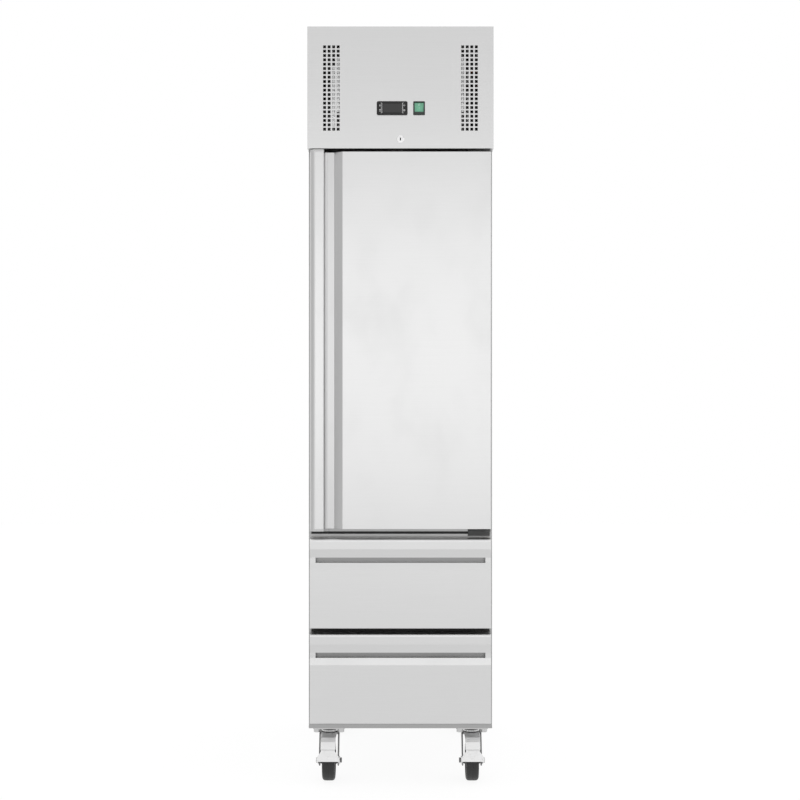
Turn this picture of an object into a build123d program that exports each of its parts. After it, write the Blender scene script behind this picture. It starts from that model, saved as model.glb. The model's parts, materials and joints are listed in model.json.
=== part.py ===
from build123d import *
from math import cos, radians, sin, sqrt
import os

# Commercial freezer cabinet, in millimetres. The origin is on the floor under the middle of the
# cabinet, +X is to the right, +Y to the back and +Z up. The door and drawers face -Y.

# Heights of the front, from the floor up
CASTOR_HEIGHT = 134.0
BASE_RAIL = 24.0
DRAWER_HEIGHT = 221.0
DRAWER_GAP = 14.0
SILL_GAP = 25.0
DOOR_HEIGHT = 932.0
HEAD_GAP = 8.0
HEAD_HEIGHT = 301.0

# Width and depth over everything
WIDTH = 460.0
DEPTH = 700.0
CONTROL_PROUD = 4.0

# Insulated box
WALL = 50.0
CEILING_RISE = 12.0
SHEET = 1.0
BASE_SHEET = 2.0
BASE_FOLD = 7.0
FRAME_DEPTH = 20.0
LINER_ROUND = 15.0
JOINT = 0.3
REAR_FLANGE = 16.0
MULLION_GROOVE = 6.0
MULLION_GROOVE_DEPTH = 4.0
MULLION_GROOVE_DROP = 11.0

# Door and drawer fronts
FRONT_INSET = 6.0
FRONT_THICK = 45.0
GASKET_THICK = 12.0
GASKET_WIDTH = 14.0
GASKET_INSET = 10.0
GASKET_CLEAR = 0.2
SEAL_LAP = 2.0

# Door handle, a pocket along the whole height beside a rounded grip
GRIP_WIDTH = 35.0
POCKET_DEPTH = 15.0
POCKET_ROUND = 10.5
POCKET_FLOOR = 60.0
POCKET_WIDTH = 81.0
DOOR_EDGE_ROUND = 14.0
GRIP_TIP_ROUND = 3.0
FRONT_EDGE_ROUND = 2.0
CAP_HEIGHT = 6.0
CAP_DEPTH = 30.0
DISH_INSET = 34.0
DISH_RISE = 6.0

# Drawer handle, a finger slot under a brow
BROW_DROP = 25.0
BROW_END = 46.0
BROW_DEPTH = 5.0
BROW_THICK = 4.5
CAVITY_TOP = 30.0
CAVITY_DEPTH = 29.0
CAVITY_END = 59.0
GROOVE_END = 76.0
DRAWER_EDGE_ROUND = 6.0
BLOCK_LENGTH = 14.0

# Door hinges
HINGE_INSET = 9.0
HINGE_DEPTH = 22.0
PIN_DIAMETER = 8.0
PIN_LENGTH = 14.0
HINGE_PLATE = 4.0
HINGE_BOSS = 10.0
HINGE_WIDTH = 55.0
HINGE_FLANGE = 18.0
BUSH_DIAMETER = 12.0
BUSH_LENGTH = 16.0
BUSH_COLLAR = 16.0
RUNNING = 0.05

# Drawer bins and their telescopic slides
BIN_LENGTH = 530.0
BIN_HEIGHT = 130.0
BIN_LIFT = 12.0
BIN_SHEET = 1.2
BIN_ROUND = 4.0
SLIDE_LENGTH = 500.0
SLIDE_HEIGHT = 46.0
SLIDE_SHEET = 1.5
SLIDE_GAP = 0.4
SLIDE_DEPTH = 12.0
SLIDE_SETBACK = 5.0
SLIDE_RIB = 1.0

# Shelves
SHELF_COUNT = 3
SHELF_WIDTH = 325.0
SHELF_DEPTH = 530.0
SHELF_FRONT = 20.0
SHELF_FIRST = 25.0
SHELF_PITCH = 255.0
SHELF_WIRE = 4.0
SHELF_ROD = 7.0
SHELF_WIRES = 23
SHELF_RODS = 4
POST_WIDTH = 18.0
POST_DEPTH = 7.0
POST_SHEET = 1.5
POST_SLOT = 5.0
POST_SLOT_PITCH = 25.0
POST_MARGIN = 30.0
RUNNER_HEIGHT = 14.0
RUNNER_SHEET = 1.5
RUNNER_REACH = 21.0

# Evaporator under the ceiling
EVAPORATOR_HALF = 158.0
EVAPORATOR_HEIGHT = 118.0
EVAPORATOR_DEPTH = 175.0
EVAPORATOR_SHEET = 2.0
EVAPORATOR_COIL_HALF = 130.0
EVAPORATOR_COIL_DEPTH = 80.0
EVAPORATOR_COIL_HEIGHT = 92.0
EVAPORATOR_COIL_FINS = 21
EVAPORATOR_TUBE_ROWS = 4
EVAPORATOR_TUBE_COLUMNS = 3
EVAPORATOR_COIL_GAP = 8.0
EVAPORATOR_FAN = 92.0
EVAPORATOR_FAN_DEPTH = 20.0
EVAPORATOR_FAN_SETBACK = 6.0
EVAPORATOR_MOTOR = 44.0
EVAPORATOR_MOTOR_LENGTH = 30.0
INTAKE_SLOTS = 9

# Fan motors and blades
MOTOR_SHAFT = 6.0
MOTOR_BORE_DEPTH = 12.0
MOTOR_ARM = 10.0
FAN_BLADES = 5
BLADE_SHEET = 2.0
BLADE_PITCH = 28.0

# Machine space
PASSAGE = 36.0
PASSAGE_X = 60.0
PASSAGE_INSET = 45.0
PLATE_SHEET = 1.5
COVER_INSET = 22.0
COVER_DROP = 3.0
COVER_SLOTS = 14
COVER_ROWS = 4
COVER_SLOT = 5.0
COVER_SLOT_LENGTH = 24.0
COVER_ROW_PITCH = 30.0
COVER_FIRST_ROW = 55.0
COIL_HALF = 156.0
COIL_FOOT = 6.0
COIL_HEIGHT = 210.0
COIL_DEPTH = 60.0
COIL_SETBACK = 100.0
COIL_FINS = 31
COIL_TUBE_ROWS = 8
COIL_TUBE_COLUMNS = 2
FIN_SHEET = 0.8
COIL_TUBE = 9.0
SHROUD_DEPTH = 34.0
SHROUD_SHEET = 1.5
CONDENSER_FAN = 196.0
CONDENSER_FAN_DEPTH = 24.0
CONDENSER_FAN_SETBACK = 8.0
CONDENSER_MOTOR = 70.0
CONDENSER_MOTOR_LENGTH = 48.0
FAN_CLEAR = 4.0
COMPRESSOR_DIAMETER = 156.0
COMPRESSOR_HEIGHT = 188.0
COMPRESSOR_X = -70.0
COMPRESSOR_Y = 95.0
FOOT_HEIGHT = 14.0
FOOT_SPREAD_X = 165.0
FOOT_SPREAD_Y = 100.0
FOOT_MARGIN = 15.0
FOOT_ROUND = 12.0
FOOT_SHEET = 3.0
DISCHARGE_PIPE = 8.0
LIQUID_PIPE = 6.0
SUCTION_PIPE = 10.0
PIPE_BEND = 18.0
PIPE_OFFSET = 50.0
PIPE_RISE = 20.0
PIPE_PAIR = 8.0
DRIER_DIAMETER = 22.0
DRIER_LENGTH = 90.0
BOX_LENGTH = 150.0
BOX_WIDTH = 78.0
BOX_HEIGHT = 120.0
BOX_LID = 4.0
BOX_SIDE_GAP = 12.0
GLAND_X = 150.0
GLAND_RISE = 45.0
GLAND_THREAD = 20.0
GLAND_NUT = 27.0
GLAND_LENGTH = 18.0
GLAND_BORE = 9.0

# Head fascia
FASCIA_SHEET = 1.2
VENT_HOLE = 7.3
VENT_COLUMNS = 4
VENT_ROWS = 20
VENT_PITCH_X = 11.2
VENT_PITCH_Z = 10.7
VENT_INSET = 59.5
VENT_DROP = 152.0

# Temperature controller
CONTROL_X = -20.5
CONTROL_RISE = 99.0
CONTROL_WIDTH = 76.0
CONTROL_HEIGHT = 34.0
CONTROL_ROUND = 4.0
CASE_WIDTH = 70.4
CASE_HEIGHT = 28.4
CASE_DEPTH = 50.0
CASE_ROUND = 1.2
CASE_WALL = 1.5
BEZEL_WALL = 2.5
CUTOUT_CLEAR = 0.3
WINDOW_WIDTH = 45.7
WINDOW_HEIGHT = 22.0
WINDOW_DEPTH = 1.0
BUTTON_X = 29.6
BUTTON_Z = 5.9
BUTTON_WIDTH = 6.4
BUTTON_HEIGHT = 6.0
BUTTON_CLEAR = 0.2
BUTTON_PROUD = 0.5
BUTTON_FLANGE = 0.7
BUTTON_FLANGE_THICK = 1.0
BUTTON_PLAY = 0.2

# Rocker switch
SWITCH_X = 46.0
SWITCH_WIDTH = 29.0
SWITCH_HEIGHT = 34.0
SWITCH_PROUD = 2.0
SWITCH_BODY_WIDTH = 26.0
SWITCH_BODY_HEIGHT = 31.0
SWITCH_BODY_DEPTH = 28.0
SWITCH_FLOOR = 8.0
ROCKER_WIDTH = 22.0
ROCKER_RADIUS = 14.0
ROCKER_CLEAR = 0.3
ROCKER_PIVOT = 5.5
ROCKER_MIDDLE = 3.6
ROCKER_END = 5.5
ROCKER_BACK = 3.0
ROCKER_TILT = 7.0
ROCKER_STUB = 4.0
ROCKER_STUB_LENGTH = 1.2
ROCKER_TRIM = 1.5
TERMINAL_LENGTH = 9.0
TERMINAL_SHEET = 0.8
TERMINAL_WIDTH = 6.0
TERMINAL_SPREAD_X = 12.0
TERMINAL_SPREAD_Z = 14.0

# Cam lock
LOCK_RISE = 22.6
LOCK_FLANGE = 19.0
LOCK_PROUD = 3.0
LOCK_BODY = 16.0
LOCK_LENGTH = 22.0
LOCK_NUT = 24.0
LOCK_CHAMFER = 1.2
LOCK_NUT_THICK = 4.0
PLUG_DIAMETER = 11.0
KEYWAY_WIDTH = 3.0
KEYWAY_HEIGHT = 7.0
KEYWAY_DEPTH = 8.0
CAM_THICK = 3.0
CAM_REACH = 38.0
CAM_HUB = 8.0
CAM_TIP = 6.0
CAM_CLEAR = 1.5

# Castors
CASTOR_INSET = 50.0
CASTOR_FRONT_SETBACK = 117.0
CASTOR_REAR_SETBACK = 117.0
WHEEL_DIAMETER = 100.0
WHEEL_WIDTH = 32.0
TRAIL = 38.0
TYRE_DEPTH = 12.0
TYRE_ROUND = 6.0
HUB_RIM = 4.0
HUB_WEB = 8.0
HUB_BOSS = 24.0
AXLE_DIAMETER = 8.0
AXLE_HEAD = 13.0
AXLE_HEAD_THICK = 4.0
FORK_INSIDE = 44.0
FORK_SHEET = 3.0
FORK_TOP = 19.0
FORK_LENGTH = 50.0
FORK_BOSS = 14.0
HUB_PLAY = 0.6
RACE_DIAMETER = 42.0
RACE_THICK = 6.0
RACE_GAP = 0.4
RACE_TAPER = 20.0
KINGPIN = 10.0
CASTOR_PLATE = 3.0
CASTOR_PLATE_ROUND = 6.0
CASTOR_PLATE_X = 80.0
CASTOR_PLATE_Y = 105.0
BOLT_SPACING_X = 60.0
BOLT_SPACING_Y = 80.0
BOLT_DIAMETER = 8.0
BOLT_HEAD = 17.0
BOLT_HEAD_THICK = 9.0
BOLT_CLEAR = 0.2
PAD_MARGIN = 10.0

# Hoods and brake pedals on the front castors, with reaches and rises from the axle
HOOD_SHEET = 3.0
HOOD_HALF = 18.5
HOOD_OVERLAP = 22.0
HOOD_REACH = 34.0
HOOD_FOLD_REACH = 43.0
HOOD_FOLD_DROP = 9.0
HOOD_LIP_REACH = 51.0
HOOD_LIP_DROP = 26.0
PEDAL_GAP = 1.4
PEDAL_TIP_REACH = 64.0
PEDAL_TIP_RISE = 11.5
PEDAL_SHEET = 2.5
PEDAL_HALF_TOP = 17.0
PEDAL_HALF_BOTTOM = 28.2
PEDAL_FLARE = 9.0
PEDAL_WAIST = 22.5
PEDAL_ARM = 2.5
PEDAL_PLAY = 0.4
PEDAL_BOSS = 10.0
PEDAL_TIP_ROUND = 5.0

# Planes and heights that follow from the sizes above
HALF_WIDTH = WIDTH / 2
BACK_Y = DEPTH / 2
FRONT_Y = -DEPTH / 2 + CONTROL_PROUD + BUTTON_PROUD
DOOR_BACK_Y = FRONT_Y + FRONT_THICK
BODY_Y = DOOR_BACK_Y + GASKET_THICK
FRAME_BACK_Y = BODY_Y + FRAME_DEPTH
BASE_Z = CASTOR_HEIGHT
BASE_TOP = BASE_Z + BASE_FOLD
FLOOR_Z = BASE_Z + WALL
LOWER_Z = BASE_Z + BASE_RAIL
UPPER_Z = LOWER_Z + DRAWER_HEIGHT + DRAWER_GAP
DOOR_Z = UPPER_Z + DRAWER_HEIGHT + SILL_GAP
DOOR_TOP = DOOR_Z + DOOR_HEIGHT
HEAD_Z = DOOR_TOP + HEAD_GAP
TOP_Z = HEAD_Z + HEAD_HEIGHT
BOX_TOP = HEAD_Z + CEILING_RISE
CEILING_Z = BOX_TOP - WALL
INNER_HALF = HALF_WIDTH - WALL
INNER_BACK = BACK_Y - WALL
SHELL_INSIDE = HALF_WIDTH - SHEET
BACK_SHEET_Y = BACK_Y - 2 * SHEET
FRONT_HALF = HALF_WIDTH - FRONT_INSET
SEAL_REACH = GASKET_INSET + GASKET_WIDTH + SEAL_LAP
DRAWERS = {"lower": LOWER_Z, "upper": UPPER_Z}
LOW_MULLION = (LOWER_Z + DRAWER_HEIGHT - SEAL_REACH, UPPER_Z + SEAL_REACH)
HIGH_MULLION = (UPPER_Z + DRAWER_HEIGHT - SEAL_REACH, DOOR_Z + SEAL_REACH)
BIN_FLOORS = {"lower": FLOOR_Z + BIN_LIFT, "upper": LOW_MULLION[1] + BIN_LIFT}
HINGE_X = FRONT_HALF - HINGE_INSET
HINGE_Y = FRONT_Y + HINGE_DEPTH
HINGE_SPACE = HEAD_GAP - HINGE_PLATE
BUSH_COLLAR_THICK = HINGE_SPACE - 2 * RUNNING
DECK_Z = BOX_TOP + PLATE_SHEET
CONTROL_Z = HEAD_Z + CONTROL_RISE
LOCK_Z = HEAD_Z + LOCK_RISE
PASSAGE_Y = INNER_BACK - PASSAGE_INSET
CAM_Y = FRONT_Y + LOCK_LENGTH + JOINT
WHEEL_RADIUS = WHEEL_DIAMETER / 2
CASTOR_X = HALF_WIDTH - CASTOR_INSET
CASTORS = {
    "front_left": (-CASTOR_X, -BACK_Y + CASTOR_FRONT_SETBACK, -1),
    "front_right": (CASTOR_X, -BACK_Y + CASTOR_FRONT_SETBACK, -1),
    "rear_left": (-CASTOR_X, BACK_Y - CASTOR_REAR_SETBACK, 1),
    "rear_right": (CASTOR_X, BACK_Y - CASTOR_REAR_SETBACK, 1),
}
CASTOR_PLATE_Z = CASTOR_HEIGHT - CASTOR_PLATE
FORK_Z = CASTOR_HEIGHT - FORK_TOP
SHELF_Y = (BODY_Y + SHELF_FRONT, BODY_Y + SHELF_FRONT + SHELF_DEPTH)
POST_YS = (SHELF_Y[0] + POST_MARGIN, SHELF_Y[1] - POST_MARGIN)
EVAPORATOR_Z = CEILING_Z - EVAPORATOR_HEIGHT
EVAPORATOR_BACK = INNER_BACK - LINER_ROUND
EVAPORATOR_FRONT = INNER_BACK - EVAPORATOR_DEPTH
EVAPORATOR_FAN_Z = CEILING_Z - EVAPORATOR_HEIGHT / 2
EVAPORATOR_COIL_Y = (
    EVAPORATOR_BACK - EVAPORATOR_COIL_DEPTH - EVAPORATOR_COIL_GAP,
    EVAPORATOR_BACK - EVAPORATOR_COIL_GAP,
)
EVAPORATOR_COIL_Z = (
    CEILING_Z - EVAPORATOR_COIL_HEIGHT - EVAPORATOR_COIL_GAP,
    CEILING_Z - EVAPORATOR_COIL_GAP,
)
COIL_Y = (FRONT_Y + COIL_SETBACK, FRONT_Y + COIL_SETBACK + COIL_DEPTH)
COIL_Z = (DECK_Z + COIL_FOOT, DECK_Z + COIL_FOOT + COIL_HEIGHT)
SHROUD_Y = (COIL_Y[1] + JOINT, COIL_Y[1] + JOINT + SHROUD_DEPTH)
CONDENSER_FAN_Z = sum(COIL_Z) / 2
COMPRESSOR_Z = DECK_Z + FOOT_HEIGHT
COVER_Y = BACK_Y - COVER_INSET

os.makedirs("parts", exist_ok=True)


# Helpers


def block(x_range, y_range, z_range, mode=Mode.ADD):
    """A straight block between two limits on each axis."""
    ranges = (x_range, y_range, z_range)
    with Locations(tuple((low + high) / 2 for low, high in ranges)):
        Box(*(high - low for low, high in ranges), mode=mode)


def round_corners(corners):
    """Round the sketch's corners nearest to each point by its radius."""
    for x, y, radius in corners:
        fillet(vertices().sort_by_distance(Vector(x, y, 0))[0], radius=radius)


def mirrored(reach):
    """The range of a piece that is centred on the cabinet's middle plane."""
    return (-reach, reach)


def door_x(distance):
    """The place of a point at a distance from the door's handle edge."""
    return -FRONT_HALF + distance


# Body panels


def make_outer_panels():
    """Side panels with a flange round the back panel, and the base pan with its castor pads."""
    with BuildPart() as outer_panels:
        for side in (-1, 1):
            with BuildSketch(Plane.XY.offset(BASE_Z)):
                with BuildLine():
                    Polyline(
                        (side * HALF_WIDTH, BODY_Y),
                        (side * HALF_WIDTH, BACK_Y),
                        (side * (HALF_WIDTH - REAR_FLANGE), BACK_Y),
                        (side * (HALF_WIDTH - REAR_FLANGE), BACK_Y - SHEET),
                        (side * SHELL_INSIDE, BACK_Y - SHEET),
                        (side * SHELL_INSIDE, BODY_Y),
                        close=True,
                    )
                make_face()
            extrude(amount=TOP_Z - BASE_Z)
        pan_half = SHELL_INSIDE - JOINT
        pan_back = BACK_SHEET_Y - JOINT
        block(mirrored(pan_half), (BODY_Y, pan_back), (BASE_Z, BASE_TOP))
        inside = pan_half - BASE_SHEET
        block(
            mirrored(inside),
            (BODY_Y + BASE_SHEET, pan_back - BASE_SHEET),
            (BASE_Z + BASE_SHEET, BASE_TOP),
            mode=Mode.SUBTRACT,
        )
        for x, y, _ in CASTORS.values():
            reach_x = CASTOR_PLATE_X / 2 + PAD_MARGIN
            reach_y = min(CASTOR_PLATE_Y / 2 + PAD_MARGIN, abs(y - BODY_Y))
            x_low = max(x - reach_x, -pan_half)
            x_high = min(x + reach_x, pan_half)
            block((x_low, x_high), (y - reach_y, y + reach_y), (BASE_Z, BASE_TOP))
            with Locations((x, y, BASE_TOP)):
                with GridLocations(BOLT_SPACING_X, BOLT_SPACING_Y, 2, 2):
                    Hole(radius=BOLT_DIAMETER / 2 + BOLT_CLEAR, depth=BASE_FOLD)
    outer_panels.part.label = "outer_panels"
    export_step(outer_panels.part, "parts/outer_panels.step")


def make_back_panel():
    """The sheet that closes the back of the insulated box, between the side panels' flanges."""
    with BuildPart() as back_panel:
        block(mirrored(SHELL_INSIDE - JOINT), (BACK_SHEET_Y, BACK_Y - SHEET), (BASE_Z, BOX_TOP))
    back_panel.part.label = "back_panel"
    export_step(back_panel.part, "parts/back_panel.step")


def make_front_frame():
    """The frame that the gaskets close on: two stiles, two end rails and two mullions."""
    depth = (BODY_Y, FRAME_BACK_Y)
    rail_half = INNER_HALF - JOINT
    with BuildPart() as front_frame:
        for side in (-1, 1):
            across = sorted((side * INNER_HALF, side * (SHELL_INSIDE - JOINT)))
            block(across, depth, (BASE_TOP, BOX_TOP))
        for z_range in ((BASE_TOP, FLOOR_Z), LOW_MULLION, HIGH_MULLION, (CEILING_Z, BOX_TOP)):
            block(mirrored(rail_half), depth, z_range)
        groove_top = DOOR_Z - MULLION_GROOVE_DROP
        block(
            mirrored(rail_half),
            (BODY_Y, BODY_Y + MULLION_GROOVE_DEPTH),
            (groove_top - MULLION_GROOVE, groove_top),
            mode=Mode.SUBTRACT,
        )
    front_frame.part.label = "front_frame"
    export_step(front_frame.part, "parts/front_frame.step")


def make_cabinet_insulation():
    """Foam slabs between the outer panels and the liner: two sides, back, floor and ceiling."""
    depth = (FRAME_BACK_Y + JOINT, BACK_SHEET_Y - JOINT)
    liner_outside = INNER_HALF + SHEET
    with BuildPart() as cabinet_insulation:
        for side in (-1, 1):
            across = sorted((side * liner_outside, side * (SHELL_INSIDE - JOINT)))
            block(across, depth, (BASE_TOP, BOX_TOP))
        inner = mirrored(liner_outside - JOINT)
        floor_top = FLOOR_Z - SHEET
        ceiling_under = CEILING_Z + SHEET
        block(inner, depth, (BASE_TOP, floor_top))
        block(inner, depth, (ceiling_under, BOX_TOP))
        back = (INNER_BACK + SHEET, depth[1])
        block(inner, back, (floor_top + JOINT, ceiling_under - JOINT))
        with Locations((PASSAGE_X, PASSAGE_Y, BOX_TOP)):
            Hole(radius=PASSAGE / 2, depth=BOX_TOP - ceiling_under)
    cabinet_insulation.part.label = "cabinet_insulation"
    export_step(cabinet_insulation.part, "parts/cabinet_insulation.step")


def make_inner_liner():
    """A coved sheet box inside the foam, open at the front."""
    depth = (FRAME_BACK_Y + JOINT, INNER_BACK + SHEET)
    outside = INNER_HALF + SHEET
    with BuildPart() as inner_liner:
        block(mirrored(outside), depth, (FLOOR_Z - SHEET, CEILING_Z + SHEET))
        mouth = inner_liner.faces().sort_by(Axis.Y)[0]
        coved = inner_liner.edges().filter_by(lambda edge: edge not in mouth.edges())
        fillet(coved, radius=LINER_ROUND)
        offset(amount=-SHEET, openings=inner_liner.faces().sort_by(Axis.Y)[0])
        with Locations((PASSAGE_X, PASSAGE_Y, CEILING_Z + SHEET)):
            Hole(radius=PASSAGE / 2, depth=2 * SHEET)
    inner_liner.part.label = "inner_liner"
    export_step(inner_liner.part, "parts/inner_liner.step")


# Shelves


def shelf_heights():
    """The underside of each wire shelf."""
    first = HIGH_MULLION[1] + SHELF_FIRST
    return [first + number * SHELF_PITCH for number in range(SHELF_COUNT)]


def make_shelf_supports():
    """Slotted posts on the side walls, and a pair of runners hooked to them for each shelf."""
    post_bottom = HIGH_MULLION[1] + JOINT
    post_top = EVAPORATOR_Z - JOINT
    slot_rows = int((post_top - post_bottom) / POST_SLOT_PITCH) - 1
    middle = (post_bottom + post_top) / 2
    with BuildPart() as shelf_supports:
        for side in (-1, 1):
            wall = side * (INNER_HALF - JOINT)
            face = side * (INNER_HALF - POST_DEPTH)
            for y in POST_YS:
                across = sorted((wall, face))
                hollow = sorted((wall, face + side * POST_SHEET))
                block(across, (y - POST_WIDTH / 2, y + POST_WIDTH / 2), (post_bottom, post_top))
                slit = POST_WIDTH / 2 - POST_SHEET
                block(hollow, (y - slit, y + slit), (post_bottom, post_top), mode=Mode.SUBTRACT)
                with BuildSketch(Plane.YZ.offset(face)):
                    with Locations((y, middle)):
                        with GridLocations(POST_SLOT_PITCH, POST_SLOT_PITCH, 1, slot_rows):
                            Rectangle(POST_WIDTH / 2, POST_SLOT)
                extrude(amount=POST_SHEET, both=True, mode=Mode.SUBTRACT)
            for height in shelf_heights():
                outer = face - side * JOINT
                upright = sorted((outer, outer - side * RUNNER_SHEET))
                ledge = sorted((outer, outer - side * RUNNER_REACH))
                top = height - JOINT
                block(upright, SHELF_Y, (top - RUNNER_SHEET, top + RUNNER_HEIGHT))
                block(ledge, SHELF_Y, (top - RUNNER_SHEET, top))
    shelf_supports.part.label = "shelf_supports"
    export_step(shelf_supports.part, "parts/shelf_supports.step")


def make_wire_shelves():
    """Coated wire shelves: rods across, wires front to back on top of them, a rod at each side."""
    y_middle = sum(SHELF_Y) / 2
    names = ("lower", "middle", "upper")
    for name, height in zip(names, shelf_heights()):
        rod_z = height + SHELF_ROD / 2
        wire_z = height + SHELF_ROD + SHELF_WIRE / 2 - SHELF_WIRE / 4
        edge_x = SHELF_WIDTH / 2 - SHELF_ROD / 2
        rod_pitch = (SHELF_DEPTH - SHELF_ROD) / (SHELF_RODS - 1)
        wire_pitch = (SHELF_WIDTH - 2 * SHELF_ROD - SHELF_WIRE) / (SHELF_WIRES - 1)
        with BuildPart() as shelf:
            with BuildSketch(Plane.XZ.offset(-SHELF_Y[0])):
                with Locations((0, rod_z)):
                    with GridLocations(2 * edge_x, 1, 2, 1):
                        Circle(SHELF_ROD / 2)
                with Locations((0, wire_z)):
                    with GridLocations(wire_pitch, 1, SHELF_WIRES, 1):
                        Circle(SHELF_WIRE / 2)
            extrude(amount=-SHELF_DEPTH)
            with BuildSketch(Plane.YZ.offset(-edge_x)):
                with Locations((y_middle, rod_z)):
                    with GridLocations(rod_pitch, 1, SHELF_RODS, 1):
                        Circle(SHELF_ROD / 2)
            extrude(amount=2 * edge_x)
        shelf.part.label = f"wire_shelf_{name}"
        export_step(shelf.part, f"parts/wire_shelf_{name}.step")


# Fans and coils


def fan_wheel(centre, diameter, depth, blades, shaft_length):
    """An axial fan wheel blowing along Y, with its shaft reaching back into the motor."""
    hub_radius = diameter / 6
    blade_length = diameter / 2 - hub_radius + hub_radius / 4
    plane = Plane(origin=centre, x_dir=(1, 0, 0), z_dir=(0, 1, 0))
    with BuildPart(plane) as wheel:
        Cylinder(hub_radius, depth, align=(Align.CENTER, Align.CENTER, Align.MIN))
        with Locations((0, 0, depth / 2)):
            with PolarLocations((diameter / 2 + hub_radius - hub_radius / 4) / 2, blades):
                Box(blade_length, diameter / 3, BLADE_SHEET, rotation=(BLADE_PITCH, 0, 0))
            Cylinder(diameter / 2, depth, mode=Mode.INTERSECT)
        Cylinder(MOTOR_SHAFT / 2, depth + shaft_length, align=(Align.CENTER, Align.CENTER, Align.MIN))
    return wheel.part


def fan_motor(centre, diameter, length, arm_reach):
    """A fan motor with three arms that hold it to its housing, and the bore for the shaft."""
    plane = Plane(origin=centre, x_dir=(1, 0, 0), z_dir=(0, 1, 0))
    with BuildPart(plane) as motor:
        Cylinder(diameter / 2, length, align=(Align.CENTER, Align.CENTER, Align.MIN))
        fillet(motor.edges().group_by(Axis.Y)[-1], radius=diameter / 10)
        with PolarLocations(arm_reach / 2, 3, start_angle=90):
            Box(arm_reach, MOTOR_ARM, 2 * SHEET, align=(Align.CENTER, Align.CENTER, Align.MIN))
        Cylinder(
            MOTOR_SHAFT / 2 + RUNNING,
            MOTOR_BORE_DEPTH,
            align=(Align.CENTER, Align.CENTER, Align.MIN),
            mode=Mode.SUBTRACT,
        )
    return motor.part


def finned_coil(half, y_range, z_range, fins, tube_rows, tube_columns, foot):
    """Fins strung on straight tubes with return bends, between end plates that reach down."""
    y_middle = sum(y_range) / 2
    z_middle = sum(z_range) / 2
    depth = y_range[1] - y_range[0]
    y_pitch = depth / tube_columns
    z_pitch = (z_range[1] - z_range[0]) / tube_rows
    bend_reach = half + 2 * COIL_TUBE
    with BuildPart() as coil:
        with BuildSketch(Plane.YZ.offset(-bend_reach)):
            with Locations((y_middle, z_middle)):
                with GridLocations(y_pitch, z_pitch, tube_columns, tube_rows):
                    Circle(COIL_TUBE / 2)
        extrude(amount=2 * bend_reach)
        for x, bends in ((bend_reach, tube_rows // 2), (-bend_reach, tube_rows // 2 - 1)):
            with BuildSketch(Plane.YZ.offset(x)):
                with Locations((y_middle, z_middle)):
                    with GridLocations(y_pitch, 2 * z_pitch, tube_columns, bends):
                        SlotCenterToCenter(z_pitch, COIL_TUBE, rotation=90)
            extrude(amount=COIL_TUBE / 2, both=True)
        with BuildSketch(Plane.XY.offset(z_range[0] - foot)):
            with Locations((0, y_middle)):
                with GridLocations(2 * half, 1, 2, 1):
                    Rectangle(3 * FIN_SHEET, depth)
        extrude(amount=z_range[1] - z_range[0] + foot)
        with BuildSketch(Plane.XY.offset(z_range[0])):
            with Locations((0, y_middle)):
                with GridLocations(2 * half / (fins - 1), 1, fins - 2, 1):
                    Rectangle(FIN_SHEET, depth)
        extrude(amount=z_range[1] - z_range[0], clean=False)
    return coil.part


# Evaporator

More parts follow.
